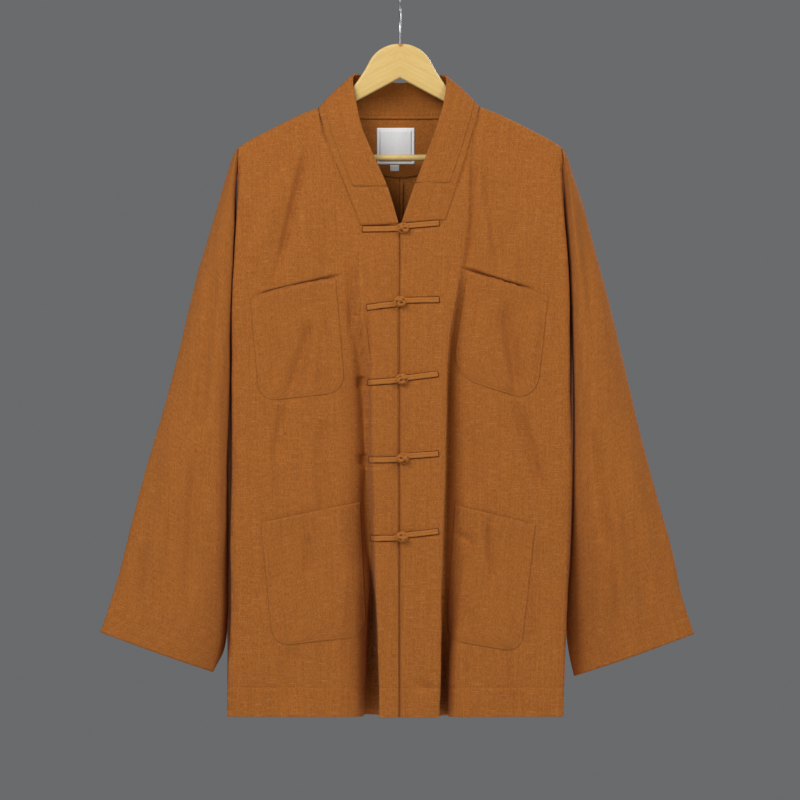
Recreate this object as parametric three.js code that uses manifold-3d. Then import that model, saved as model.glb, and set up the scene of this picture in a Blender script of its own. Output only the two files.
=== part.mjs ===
import * as THREE from 'three';
import { mergeVertices } from 'three/addons/utils/BufferGeometryUtils.js';
import Module from 'manifold-3d';

const wasm = await Module();
wasm.setup();

// A monk's short jacket on a wooden hanger. Millimetres, +Z up, the front faces -Y.
// The origin is the inside top of the hook, where a rail carries the hanger.
// "drop" is the distance below the neck point, "out" the distance in front of the hanger.
const neckHeight = -158;
const clothWall = 1.6;
const seamGap = 0.35;
const layGap = 0.3;
const collarWall = 1.8;
const hemDrop = 798;

// Hanger sizes.
const woodThick = 13;
const woodBevel = 2.5;
const woodBelowCloth = 3.4;
const barRadius = 4.15;
const barDrop = 66;
const barReach = 198;
const wireRadius = 1.6;
const hookRadius = 20;
const hookBend = 55;
const hookTip = 205;
const hookDepth = 22;
const apexHeight = -119.5;
const roundSides = 12;
const bendSteps = 3;
const crownSteps = 14;
const wireSteps = 32;
// Outline of the hanger's bell, and of the arm's end with the bar's lobe: x and height, for one half.
const bell = [
  [0, -74.6], [11.8, -75.7], [26.2, -82], [36.7, -92], [44.5, -105.8], [51, -116.3], [61.6, -130.7],
  [84, -151], [104, -166],
];
const armEnd = [[210, -213], [210.5, -224], [206, -231], [196, -232.5], [188, -228], [183, -217]];
const layerReach = 90;

// Rows of a table as objects with one named column for each value.
function table(columns, rows) {
  const names = columns.split(' ');
  return rows.map((row) => Object.fromEntries(names.map((name, i) => [name, row[i]])));
}

// Wearer's left front: one row for each level.
// strip: edge of the centre strip that stands forward, panel: far side of the trough beside it,
// tuck: how far the strip's edge hangs over the trough.
const leftFrontRows = table('drop strip panel tuck stripOut troughOut panelOut midOut side sideOut', [
  [60, 86, 98, 0, 22, 21, 19, 13, 208.5, 11],
  [100, 86, 100, 0, 28, 26, 25, 18, 211, 17],
  [155, 85, 99, 0, 36, 31, 31, 25, 215, 22],
  [205, 84, 97, 0, 41, 33, 35, 29, 219, 26],
  [253, 75, 90, 1, 46, 32, 38, 32, 221.5, 29],
  [305, 66, 81, 2, 49, 31, 40, 35, 221.5, 31],
  [358, 62, 77, 2, 52, 30, 42, 37, 221, 32],
  [462, 59.5, 76, 2, 56, 29, 44, 40, 222, 34],
  [567, 56.5, 75, 2, 58, 28, 46, 42, 219.5, 35],
  [672, 53.5, 74, 2, 60, 27, 48, 44, 216.5, 35],
  [798, 50.5, 72.5, 2, 62, 26, 49, 45, 211.5, 35],
]);

// Wearer's right front: a softer, wider trough that closes to a deep fold below the last frog.
const rightFrontRows = table('drop strip panel tuck stripOut troughOut panelOut midOut side sideOut', [
  [60, 74, 92, 0, 22, 21.5, 20, 13, 208.5, 11],
  [100, 62, 86, 0, 29, 27.5, 25, 18, 210, 17],
  [155, 58, 85, -4, 36, 33, 31, 25, 214, 22],
  [205, 56, 87, -6, 41, 35.5, 36, 30, 217, 26],
  [253, 54, 88, -6, 45, 37, 39, 33, 218.5, 29],
  [305, 50, 83, -6, 48, 38, 41, 36, 219, 31],
  [358, 44, 75, -5, 51, 37, 43, 38, 219, 32],
  [462, 42, 72, -5, 55, 37, 45, 41, 218, 34],
  [567, 38, 71, -4, 57, 34, 47, 43, 218, 35],
  [620, 31, 68, -2, 58, 31, 48, 44, 218.5, 35],
  [672, 29, 61, 0, 59, 28, 49, 45, 220, 35],
  [798, 27.5, 51, 1, 61, 26, 50, 46, 225, 35],
]);

// The line where front, back and sleeve meet: armhole above the underarm, side seam below it.
// slit: how far apart the front and back edges are, which is the opening into the sleeve.
const leftSideSeam = table('drop x out slit', [
  [53, 212.2, 0, 0.4],
  [60, 212.4, 0, 16.4],
  [100, 214, 0, 14.4],
  [155, 217.5, 0, 11],
  [205, 221, 0, 7.2],
  [253, 223.5, 0, 3.2],
  [290, 225, 0, 0.4],
  [358, 226.5, -3, 0.4],
  [462, 226.5, -6, 0.4],
  [567, 224, -6, 0.4],
  [640, 220, -6, 0.4],
  [690, 216.8, -6, 0.4],
  [798, 212.3, -6, 0.4],
]);
const rightSideSeam = table('drop x out slit', [
  [53, 212.2, 0, 0.4],
  [60, 212.4, 0, 16.4],
  [100, 213.4, 0, 14.4],
  [155, 216, 0, 11],
  [205, 218.6, 0, 7.2],
  [253, 221, 0, 3.2],
  [290, 222.5, 0, 0.4],
  [358, 224, -3, 0.4],
  [462, 224.5, -6, 0.4],
  [567, 224.5, -6, 0.4],
  [640, 224.5, -6, 0.4],
  [690, 224.8, -6, 0.4],
  [798, 226, -6, 0.4],
]);

// Back: spine, a fold (crest and trough) each side of it, blade and side turn.
// "behind" is the distance behind the hanger's plane.
const leftBackRows = table('drop spine crest crestBehind trough troughBehind blade side sideBehind', [
  [60, 25, 66, 24, 90, 20, 15, 208.5, 10],
  [100, 27, 66, 28, 88, 24, 21, 211, 14],
  [155, 30, 64, 32, 86, 27, 27, 215.5, 17],
  [253, 33, 62, 37, 84, 29, 33, 223, 20],
  [358, 35, 60, 41, 83, 29, 37, 230, 21],
  [462, 36, 59, 44, 83, 29, 40, 230.5, 22],
  [567, 37, 59, 46, 84, 29, 42, 228, 23],
  [640, 38, 60, 47, 86, 29, 43, 222.5, 23],
  [690, 38, 60, 48, 87, 29, 43, 217.5, 23],
  [798, 38, 61, 49, 88, 29, 44, 212.5, 23],
]);
const rightBackRows = table('drop spine crest crestBehind trough troughBehind blade side sideBehind', [
  [60, 25, 50, 25, 84, 21, 15, 208.5, 10],
  [100, 27, 50, 28, 84, 25, 21, 210.5, 14],
  [155, 30, 49, 32, 82, 28, 27, 214.5, 17],
  [253, 33, 47, 37, 78, 31, 33, 221, 20],
  [358, 35, 45, 40, 75, 32, 37, 227.5, 21],
  [462, 36, 43, 42, 72, 32, 40, 229, 22],
  [567, 37, 42, 44, 70, 31, 42, 230, 23],
  [640, 38, 42, 45, 69, 30, 43, 229.5, 23],
  [690, 38, 42, 46, 68, 30, 43, 226, 23],
  [798, 38, 42, 47, 68, 30, 44, 226.3, 23],
]);

// Sleeves: one slanted ring for each row, from the armhole's top to the cuff.
// front and back are "out" values at the middle of the ring. The ring opens towards the body by slit,
// and below the underarm the slit is the sleeve seam.
const leftSleeveRings = table('innerDrop outerDrop seam seamOut slit inner innerBack outer front back', [
  [61, 53, 212.9, 0, 16.4, 213, 213, 213.4, 7.8, -7.8],
  [76, 63, 213.7, 0, 15.6, 215, 215, 219, 12, -11],
  [110, 88, 215.4, 0, 13.8, 218, 218, 227.5, 18, -16],
  [155, 122, 218.4, 0, 11, 221.5, 222, 238, 25, -20],
  [215, 194, 222.4, 0, 6.5, 226, 227, 257, 31, -23],
  [290, 263, 226.2, 0, 0.5, 229, 231, 275, 36, -23],
  [358, 330, 230, 2, 0.5, 230, 234, 291, 40, -19],
  [457, 410, 231, 8, 0.5, 230, 235, 310.5, 44, -13],
  [558, 515, 229.5, 13, 0.5, 227, 234, 337.5, 47, -7],
  [608, 575, 227.5, 15, 0.5, 225.5, 232, 355, 48, -4],
  [681, 638, 222.5, 17, 0.5, 222, 225, 370, 48, 0],
  [717, 665, 224, 19, 0.5, 225, 226, 378.5, 46, 3],
  [746, 690, 228.5, 20, 0.5, 229.5, 230, 386, 44, 5],
]);
const rightSleeveRings = table('innerDrop outerDrop seam seamOut slit inner innerBack outer front back', [
  [61, 53, 212.9, 0, 16.4, 213, 213, 213.4, 7.8, -7.8],
  [76, 63, 213.5, 0, 15.6, 215, 215, 219, 12, -11],
  [110, 88, 214.7, 0, 13.8, 217, 217, 228, 18, -16],
  [155, 128, 216.9, 0, 11, 219.5, 220, 240, 25, -20],
  [215, 189, 220, 0, 6.5, 223, 224, 257, 31, -23],
  [290, 258, 223.7, 0, 0.5, 226, 229, 275, 36, -23],
  [350, 320, 228, 2, 0.5, 226, 231.5, 291.5, 40, -19],
  [450, 412, 230, 8, 0.5, 227, 233.5, 314.5, 44, -13],
  [540, 497, 231, 13, 0.5, 229, 234.5, 339.5, 47, -7],
  [610, 563, 231.5, 15, 0.5, 231.5, 235, 356.5, 48, -4],
  [672, 621, 231.5, 17, 0.5, 231.5, 235, 372, 48, 0],
  [712, 660, 234.5, 19, 0.5, 235, 237, 383.5, 46, 3],
  [740, 688, 245, 20, 0.5, 246, 247, 392.5, 44, 5],
]);

// Neck band, from the wearer's right front end round the back neck to the left front end.
// free: the edge towards the neck, seam: the edge sewn to the body. x is signed here.
const collarStations = table('freeX freeOut freeDrop seamX seamOut seamDrop', [
  [-1.4, 38, 149.5, -52.4, 35.5, 154.5],
  [-16.4, 36, 104.8, -72.3, 29, 104.8],
  [-35.4, 32, 61.6, -90.5, 21.5, 60],
  [-50, 26.5, 26, -101.5, 15, 26],
  [-57.8, 18, -9, -106.6, 9.4, 6.5],
  [-62, 3, -41.5, -107.6, 0, 0],
  [-55, -11, -44, -104, -9.4, 6.5],
  [-32, -20, -38.5, -66, -22, 11.5],
  [0, -22.5, -33, 0, -26.5, 12.5],
  [32, -20, -38, 65, -22, 11.5],
  [54, -11, -43, 101.5, -9.4, 5],
  [60.9, 3, -40, 104.8, 0, -1.3],
  [58, 18, -9, 103.8, 9.4, 5],
  [50, 26.5, 20, 98.6, 15, 24],
  [35, 32, 62, 88, 21.5, 62],
  [20, 36, 100.2, 75.9, 28.5, 100.2],
  [1.4, 38, 149, 61.6, 34.5, 143.5],
]);
const bandWidth = 50;
const collarBulge = 1.5;
const collarSeamInset = 0.8;
const neckGap = 0.5;
// Share of the band's width that the guard band covers: it stops 10 mm short of the neck seam.
const guardShare = 0.8;
const guardWall = 1.2;

// Shoulder fold from the neck point to the end of the hanger, the same on both sides.
const shoulderLine = [
  { x: 104, drop: -1 }, { x: 120, drop: 5 }, { x: 131, drop: 9.3 }, { x: 160, drop: 23.5 },
  { x: 195, drop: 41.5 }, { x: 207, drop: 49 }, { x: 213, drop: 53.5 },
];

// How the cloth turns over the hanger's top edge: distance out from the fold line, and down.
const shoulderRoll = [
  { over: 0.2, down: 0 }, { over: 4.2, down: 0.6 }, { over: 7, down: 2.2 }, { over: 8.3, down: 5.5 },
];

// Where each named line of a front starts on its top edge.
const leftFrontTops = {
  centre: 0.5, stripMid: 60.6, crest: 87, under: 89, bottom: 91.5, wall: 94.5, panel: 98,
  bandPoint: 103.4, neck: 105.2, mid: 140, outer: 180, side: 207, deep: 210, seam: 212.2,
};
const rightFrontTops = {
  centre: 0.5, stripMid: 26, crest: 51.4, under: 60, bottom: 68, wall: 77, panel: 86,
  bandPoint: 106.2, neck: 108, mid: 140, outer: 180, side: 207, deep: 210, seam: 212.2,
};
const frontSteps = [2, 2, 1, 1, 1, 1, 1, 1, 2, 2, 2, 2, 1];
const leftBackTops = {
  spine: 0, crest: 50, trough: 80, bandPoint: 103.4, neck: 105.2, blade: 140, side: 207, seam: 212.2,
};
const rightBackTops = {
  spine: 0, crest: 50, trough: 80, bandPoint: 106.2, neck: 108, blade: 140, side: 207, seam: 212.2,
};
const backSteps = [2, 1, 1, 1, 1, 3, 1];
const frontLevels = 14;
const backLevels = 11;
// Above 1 the levels crowd towards the hem, below 1 towards the shoulder.
const levelCrowding = 0.9;
// The tables take over this far below the top edge.
const topBlend = 18;
// Where the middle of the centre strip lies, as a share of the strip's width.
const stripMiddle = { left: 0.68, right: 0.5 };

// Patch pockets as they lie on the fronts. x is from the centre front, corner the size of the round
// lower corners.
const pockets = [
  { name: 'pocket_upper_left', side: 1, mouthIn: { x: 88, drop: 217 }, mouthOut: { x: 194, drop: 248 },
    footOut: { x: 178, drop: 388 }, footIn: { x: 68, drop: 352 }, corner: 34 },
  { name: 'pocket_upper_right', side: -1, mouthIn: { x: 84, drop: 225 }, mouthOut: { x: 196, drop: 250 },
    footOut: { x: 184, drop: 386 }, footIn: { x: 72, drop: 374 }, corner: 24 },
  { name: 'pocket_lower_left', side: 1, mouthIn: { x: 72, drop: 521 }, mouthOut: { x: 177, drop: 547 },
    footOut: { x: 158, drop: 714 }, footIn: { x: 60, drop: 697 }, corner: 22 },
  { name: 'pocket_lower_right', side: -1, mouthIn: { x: 52, drop: 517 }, mouthOut: { x: 182, drop: 544 },
    footOut: { x: 166, drop: 706 }, footIn: { x: 44, drop: 692 }, corner: 24 },
];

// Frogs: a knot on the wearer's left tab, a loop on the wearer's right tab. Each tab runs from the knot
// to its round outer end. x is from the centre front.
const frogs = table('drop x loopFrom loopEndX loopEndDrop knotFrom knotEndX knotEndDrop', [
  [159, 4.5, 160.3, 49, 160.5, 156.5, 51, 152.6],
  [255, 1, 259.5, 43, 263, 254, 51, 253],
  [356.5, 3.3, 359, 42, 361.5, 355.5, 49.5, 350],
  [460, 4.6, 462.2, 40.6, 462.4, 457.5, 50, 454],
  [562.6, 3.3, 564.4, 38, 565, 560.7, 50, 555.4],
]);
const tabWidth = 7;
const tabThick = 3.4;
const knotRadius = 5.3;
const loopRadius = 7.5;
const loopCord = 1.5;

// Inside the neck.
const facing = { halfWidth: 90, top: -20, drop: 92, wall: 1 };
const label = { left: -30.5, right: 19, top: 26, bottom: 74, wall: 1 };
const sizeTag = { left: -13, right: -1, top: 74.6, bottom: 83, wall: 1 };

const linen = { color: 0x9c5c26, roughness: 0.85, metalness: 0 };
const paleWood = { color: 0xe2bf73, roughness: 0.45, metalness: 0 };
const steel = { color: 0xb9bcc0, roughness: 0.3, metalness: 1 };
const tape = { color: 0xe9e6e0, roughness: 0.7, metalness: 0 };

const part = new THREE.Group();
part.name = 'monk_short_jacket_on_hanger';

function addPiece(name, geometry, look) {
  const mesh = new THREE.Mesh(geometry, new THREE.MeshStandardMaterial(look));
  mesh.name = name;
  part.add(mesh);
  return mesh;
}

const forward = new THREE.Vector3(0, -1, 0);
const backward = new THREE.Vector3(0, 1, 0);
const at = (x, out, drop) => new THREE.Vector3(x, -out, neckHeight - drop);
const mix = THREE.MathUtils.lerp;

// Smooth value of one named column between the rows of a table.
function valueAt(rows, key, place, along = 'drop') {
  const last = rows.length - 1;
  if (place <= rows[0][along]) return rows[0][key];
  if (place >= rows[last][along]) return rows[last][key];
  const i = rows.findIndex((row, k) => place <= rows[k + 1][along]);
  const slope = (k) => {
    const before = rows[Math.max(k - 1, 0)];
    const after = rows[Math.min(k + 1, last)];
    return (after[key] - before[key]) / (after[along] - before[along]);
  };
  const span = rows[i + 1][along] - rows[i][along];
  const t = (place - rows[i][along]) / span;
  const rise = rows[i + 1][key] - rows[i][key];
  const start = slope(i) * span;
  const end = slope(i + 1) * span;
  const square = 3 * rise - 2 * start - end;
  const cube = start + end - 2 * rise;
  return rows[i][key] + t * (start + t * (square + t * cube));
}

// Straight value between rows, for edges that have to meet exactly.
function straightAt(rows, key, place, along = 'drop') {
  const last = rows.length - 1;
  if (place <= rows[0][along]) return rows[0][key];
  if (place >= rows[last][along]) return rows[last][key];
  const i = rows.findIndex((row, k) => place <= rows[k + 1][along]);
  const t = (place - rows[i][along]) / (rows[i + 1][along] - rows[i][along]);
  return mix(rows[i][key], rows[i + 1][key], t);
}

// A row of points through named points, with some steps in each span.
function spread(points, steps) {
  const curve = new THREE.CatmullRomCurve3(points);
  const spans = points.length - 1;
  const row = [];
  for (let i = 0; i < spans; i++) {
    for (let j = 0; j < steps[i]; j++) row.push(curve.getPoint((i + j / steps[i]) / spans));
  }
  row.push(points[spans].clone());
  return row;
}

// Surface normals of a grid of points, pointing along "outward" at the grid's middle.
// On a sewn edge a normal drops one axis, so that two pieces meet square there: edges names it, and
// 'level' drops the smaller of x and y.
function gridNormals(grid, outward, edges) {
  const rows = grid.length;
  const columns = grid[0].length;
  const normals = grid.map((row, r) => row.map((point, c) => {
    const across = row[Math.min(c + 1, columns - 1)].clone().sub(row[Math.max(c - 1, 0)]).normalize();
    const down = grid[Math.min(r + 1, rows - 1)][c].clone().sub(grid[Math.max(r - 1, 0)][c]);
    return across.cross(down.normalize()).normalize();
  }));
  const middle = normals[Math.floor(rows / 2)][Math.floor(columns / 2)];
  const sign = middle.dot(outward) < 0 ? -1 : 1;
  normals.forEach((row, r) => row.forEach((normal, c) => {
    normal.multiplyScalar(sign);
    const smaller = Math.abs(normal.x) < Math.abs(normal.y) ? 'x' : 'y';
    const square = (edge) => { normal[edge === 'level' ? smaller : edge] = 0; };
    if (c === 0 && edges.first) square(edges.first);
    if (c === columns - 1 && edges.last) square(edges.last);
    if (r === 0 && edges.top === 'x') square('x');
    if (r === 0 && edges.top === 'y' && Math.abs(grid[r][c].y) < 1) square('y');
    normal.normalize();
  }));
  return { normals, sign };
}

// Closed wall between two distances from a grid of points, low and high along its normals.
function clothWallOn(grid, outward, low, high, edges = {}) {
  const rows = grid.length;
  const columns = grid[0].length;
  const { normals, sign } = gridNormals(grid, outward, edges);
  const positions = [];
  for (const offset of [high, low]) {
    grid.forEach((row, r) => row.forEach((point, c) => {
      const p = point.clone().addScaledVector(normals[r][c], offset);
      positions.push(p.x, p.y, p.z);
    }));
  }
  const index = [];
  const lower = rows * columns;
  const quad = (a, b, c, d) => {
    if (sign > 0) index.push(a, b, c, a, c, d);
    else index.push(a, c, b, a, d, c);
  };
  const n = (r, c) => r * columns + c;
  for (let r = 0; r < rows - 1; r++) {
    for (let c = 0; c < columns - 1; c++) {
      quad(n(r, c), n(r, c + 1), n(r + 1, c + 1), n(r + 1, c));
      quad(lower + n(r, c), lower + n(r + 1, c), lower + n(r + 1, c + 1), lower + n(r, c + 1));
    }
    quad(n(r, 0), n(r + 1, 0), lower + n(r + 1, 0), lower + n(r, 0));
    const end = n(r, columns - 1);
    quad(end, lower + end, lower + end + columns, end + columns);
  }
  for (let c = 0; c < columns - 1; c++) {
    quad(n(0, c), lower + n(0, c), lower + n(0, c + 1), n(0, c + 1));
    quad(n(rows - 1, c), n(rows - 1, c + 1), lower + n(rows - 1, c + 1), lower + n(rows - 1, c));
  }
  const geometry = new THREE.BufferGeometry();
  geometry.setAttribute('position', new THREE.Float32BufferAttribute(positions, 3));
  geometry.setIndex(index);
  return geometry;
}

// A prism along Y with an outline in the front view, from one "out" value to another.
function frontPrism(outline, fromOut, toOut) {
  const geometry = new THREE.ExtrudeGeometry(new THREE.Shape(outline), {
    depth: toOut - fromOut, bevelEnabled: false, curveSegments: 4,
  });
  geometry.rotateX(Math.PI / 2);
  geometry.translate(0, -fromOut, 0);
  return toSolid(geometry);
}
const flat = (x, drop) => new THREE.Vector2(x, neckHeight - drop);

// Joins and cuts.
function toSolid(geometry) {
  const bare = new THREE.BufferGeometry();
  bare.setAttribute('position', geometry.getAttribute('position').clone());
  if (geometry.index) bare.setIndex(geometry.index.clone());
  const merged = mergeVertices(bare, 1e-4);
  const vertProperties = new Float32Array(merged.getAttribute('position').array);
  const triVerts = new Uint32Array(merged.index.array);
  return new wasm.Manifold(new wasm.Mesh({ numProp: 3, vertProperties, triVerts }));
}

function toGeometry(solid) {
  const mesh = solid.getMesh();
  const geometry = new THREE.BufferGeometry();
  geometry.setAttribute('position', new THREE.BufferAttribute(new Float32Array(mesh.vertProperties), 3));
  geometry.setIndex(new THREE.BufferAttribute(new Uint32Array(mesh.triVerts), 1));
  return geometry;
}

// Cuts a piece clear of its neighbour and keeps its main body.
function trim(geometry, cutter) {
  const bodies = toSolid(geometry).subtract(cutter).decompose();
  bodies.sort((a, b) => b.volume() - a.volume());
  return toGeometry(bodies[0]);
}

// Neck band and the guard band over it: lines along the band at shares of its width, from the free edge
// to the seam.
function collarGrid(shares, stations) {
  return shares.map((share) => {
    const points = stations.map((row) => {
      const free = at(row.freeX, row.freeOut, row.freeDrop);
      const seam = at(row.seamX, row.seamOut, row.seamDrop);
      const width = free.distanceTo(seam);
      const away = new THREE.Vector3(row.seamX, -row.seamOut * 2, 0).normalize();
      return free.clone().lerp(seam, share * (1 - collarSeamInset / width))
        .addScaledVector(away, collarBulge * Math.sin(Math.PI * share));
    });
    return spread(points, points.slice(1).map(() => 2));
  });
}
const bandGrid = collarGrid([0, 0.4, guardShare, 1], collarStations);
const bandReach = collarGrid([0, 0.4, guardShare, 1 + seamGap / bandWidth], collarStations);
const bandClearance = toSolid(clothWallOn(bandReach, backward, -collarWall - layGap, layGap));
addPiece('collar_band', clothWallOn(bandGrid, backward, -collarWall, 0), linen);
const guardGrid = bandGrid.slice(0, 3).map((row) => row.slice(2, -2));
addPiece('collar_guard', clothWallOn(guardGrid, backward, layGap, layGap + guardWall), linen);

// The neck edge of the body on one side, just off the band: its drop and out at a distance from the centre.
const bandSeam = bandGrid[bandGrid.length - 1];
function neckEdge(side, facing) {
  const half = bandSeam.filter((point) => point.x * side >= 0);
  const highest = half.reduce((best, point) => (Math.abs(point.x) > Math.abs(best.x) ? point : best));
  return half.filter((point) => point === highest || Math.sign(highest.y - point.y) * facing > 0)
    .map((point) => ({ x: Math.abs(point.x), drop: neckHeight - point.z, out: -point.y }))
    .sort((a, b) => a.x - b.x);
}
const neckEdges = {
  front: { 1: neckEdge(1, 1), '-1': neckEdge(-1, 1) },
  back: { 1: neckEdge(1, -1), '-1': neckEdge(-1, -1) },
};

// Top edge of the body on one side: along the band's end, up the neck seam, out along the shoulder fold.
function topEdge(side, facing, x) {
  const seam = neckEdges[facing > 0 ? 'front' : 'back'][side];
  const corner = seam[0];
  const neck = seam[seam.length - 1];
  if (facing > 0 && x < corner.x) {
    const free = collarStations[side < 0 ? 0 : collarStations.length - 1];
    const t = x / corner.x;
    return {
      drop: mix(free.freeDrop, corner.drop, t) + neckGap,
      out: mix(free.freeOut, corner.out, t),
    };
  }
  if (x <= neck.x + neckGap) {
    const place = x - neckGap;
    return {
      drop: straightAt(seam, 'drop', place, 'x') + neckGap,
      out: straightAt(seam, 'out', place, 'x'),
    };
  }
  return { drop: straightAt(shoulderLine, 'drop', x, 'x'), out: 0 };
}

// Named points of a front at one level: shares of the trough's width up to panel, and of the wide panel
// beyond it.
function frontSection(row, seamRows, midShare) {
  const gap = row.panel - row.strip;
  const wide = row.side - row.panel;
  const seamX = valueAt(seamRows, 'x', row.drop);
  const seamOut = valueAt(seamRows, 'out', row.drop) + valueAt(seamRows, 'slit', row.drop) / 2;
  return {
    centre: [0.5, row.stripOut - 1],
    stripMid: [row.strip * midShare, row.stripOut + 1],
    crest: [row.strip, row.stripOut],
    under: [row.strip - row.tuck, mix(row.stripOut, row.troughOut, 0.45)],
    bottom: [row.strip + 0.45 * gap, row.troughOut],
    wall: [row.panel - 0.12 * gap, mix(row.troughOut, row.panelOut, 0.6)],
    panel: [row.panel + 0.03 * wide, row.panelOut],
    bandPoint: [row.panel + 0.18 * wide, mix(row.panelOut, row.midOut, 0.3)],
    neck: [row.panel + 0.26 * wide, mix(row.panelOut, row.midOut, 0.45)],
    mid: [row.panel + 0.5 * wide, row.midOut],
    outer: [row.panel + 0.8 * wide, mix(row.midOut, row.sideOut, 0.5) + 1],
    side: [row.side, row.sideOut],
    deep: [mix(row.side, seamX, 0.5), mix(row.sideOut, seamOut, 0.6)],
    seam: [seamX, seamOut],
  };
}

// Each named line of a front as stations from its top edge to the hem.
function frontLines(side) {
  const rows = side > 0 ? leftFrontRows : rightFrontRows;
  const seamRows = side > 0 ? leftSideSeam : rightSideSeam;
  const tops = side > 0 ? leftFrontTops : rightFrontTops;
  const midShare = side > 0 ? stripMiddle.left : stripMiddle.right;
  return Object.keys(tops).map((name) => {
    const top = topEdge(side, 1, tops[name]);
    const lower = rows.filter((row) => row.drop > top.drop + topBlend).map((row) => {
      const [x, out] = frontSection(row, seamRows, midShare)[name];
      return { x, out, drop: row.drop };
    });
    return { top: { x: tops[name], ...top }, lower };
  });
}

function backLines(side) {
  const rows = side > 0 ? leftBackRows : rightBackRows;
  const seamRows = side > 0 ? leftSideSeam : rightSideSeam;
  const tops = side > 0 ? leftBackTops : rightBackTops;
  return Object.keys(tops).map((name) => {
    const top = { x: tops[name], ...topEdge(side, -1, tops[name]) };
    const lower = rows.filter((row) => row.drop > top.drop + topBlend).map((row) => {
      const seamX = valueAt(seamRows, 'x', row.drop);
      const seamOut = valueAt(seamRows, 'out', row.drop) - valueAt(seamRows, 'slit', row.drop) / 2;
      const place = {
        spine: [0, -row.spine],
        crest: [row.crest, -row.crestBehind],
        trough: [row.trough, -row.troughBehind],
        bandPoint: [mix(row.trough, row.side, 0.14), -mix(row.troughBehind, row.blade, 0.25)],
        neck: [mix(row.trough, row.side, 0.22), -mix(row.troughBehind, row.blade, 0.45)],
        blade: [mix(row.trough, row.side, 0.5), -row.blade],
        side: [row.side, -row.sideBehind],
        seam: [seamX, seamOut],
      }[name];
      return { x: place[0], out: place[1], drop: row.drop };
    });
    return { top, lower };
  });
}

// Grid of points down the named lines. facing is 1 for a front and -1 for a back. The first rows follow
// the top edge and the turn over the hanger, the others run down to the hem.
function bodyGrid(lines, side, facing, steps, rowCount) {
  const lastRoll = shoulderRoll[shoulderRoll.length - 1];
  const topXs = [];
  for (let i = 0; i < lines.length - 1; i++) {
    const [from, to] = [lines[i].top.x, lines[i + 1].top.x];
    for (let j = 0; j < steps[i]; j++) topXs.push(mix(from, to, j / steps[i]));
  }
  topXs.push(lines[lines.length - 1].top.x);
  const grid = shoulderRoll.map(({ over, down }) => topXs.map((x) => {
    const edge = topEdge(side, facing, x);
    const out = facing * Math.max(facing * edge.out, over);
    return at(side * x, out, edge.drop + down);
  }));
  for (let r = 1; r <= rowCount; r++) {
    const share = (r / rowCount) ** levelCrowding;
    grid.push(spread(lines.map(({ top, lower }) => {
      const out = facing * Math.max(facing * top.out, lastRoll.over);
      const stations = [{ x: top.x, out, drop: top.drop + lastRoll.down }, ...lower];
      const drop = mix(stations[0].drop, hemDrop, share);
      return at(side * valueAt(stations, 'x', drop), valueAt(stations, 'out', drop), drop);
    }), steps));
  }
  return grid;
}

const frontGrids = {
  left: bodyGrid(frontLines(1), 1, 1, frontSteps, frontLevels),
  right: bodyGrid(frontLines(-1), -1, 1, frontSteps, frontLevels),
};
const bodyEdges = { first: 'x', last: 'level', top: 'y' };
for (const name of ['left', 'right']) {
  const front = clothWallOn(frontGrids[name], forward, -clothWall, 0, bodyEdges);
  addPiece(`front_${name}`, trim(front, bandClearance), linen);
}

// Backs, cut along the spine seam.
const backGrids = {
  left: bodyGrid(backLines(1), 1, -1, backSteps, backLevels),
  right: bodyGrid(backLines(-1), -1, -1, backSteps, backLevels),
};
const wholeBack = backGrids.right.map((row, r) => [...row.slice(1).reverse(), ...backGrids.left[r]]);
for (const [name, side] of [['left', 1], ['right', -1]]) {
  const grid = backGrids[name].map((row) => [
    row[0].clone().setX(side * seamGap / 2), ...row.slice(1),
  ]);
  const back = clothWallOn(grid, backward, -clothWall, 0, bodyEdges);
  addPiece(`back_${name}`, trim(back, bandClearance), linen);
}

// Sleeves: open rings that close below the underarm.
function sleeveGrid(side, rings) {
  return rings.map((ring) => {
    const wide = ring.outer - ring.inner;
    const axisOut = (ring.front + ring.back) / 2;
    const dropAt = (x) => mix(ring.innerDrop, ring.outerDrop, (x - ring.inner) / wide);
    const place = (x, out) => at(side * x, out, dropAt(x));
    const points = [
      place(ring.seam, ring.seamOut + ring.slit / 2),
      place(ring.inner, mix(axisOut, ring.front, 0.62)),
      place(ring.inner + wide * 0.3, ring.front),
      place(ring.inner + wide * 0.72, mix(axisOut, ring.front, 0.72)),
      place(ring.outer, axisOut),
      place(ring.inner + wide * 0.72, mix(axisOut, ring.back, 0.72)),
      place(ring.inner + wide * 0.3, ring.back),
      place(ring.innerBack, mix(axisOut, ring.back, 0.62)),
      place(ring.seam, ring.seamOut - ring.slit / 2),
    ];
    return spread(points, [1, 2, 2, 2, 2, 2, 2, 1]);
  });
}
const sleeveEdges = { first: 'level', last: 'level', top: 'x' };
for (const [name, side, rings] of [['left', 1, leftSleeveRings], ['right', -1, rightSleeveRings]]) {
  const outward = new THREE.Vector3(side, 0, 0);
  const sleeve = clothWallOn(sleeveGrid(side, rings), outward, -clothWall, 0, sleeveEdges);
  addPiece(`sleeve_${name}`, sleeve, linen);
}

// What lies on a panel: a layer off its grid, cut to an outline in the front view.
function layerOn(grid, outward, low, high, outline) {
  const layer = toSolid(clothWallOn(grid, outward, low, high));
  return layer.intersect(frontPrism(outline, -layerReach, layerReach));
}

// Inside the neck: facing, label and size tag, one on another.
const facingLow = -clothWall - layGap - facing.wall;
const { halfWidth } = facing;
const facingCurve = new THREE.EllipseCurve(0, neckHeight, halfWidth, facing.drop, Math.PI, 2 * Math.PI);
const facingOutline = [
  ...facingCurve.getPoints(10), flat(halfWidth, facing.top), flat(-halfWidth, facing.top),
];
addPiece('neck_facing', toGeometry(
  layerOn(wholeBack, backward, facingLow, facingLow + facing.wall, facingOutline)), linen);

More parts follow.
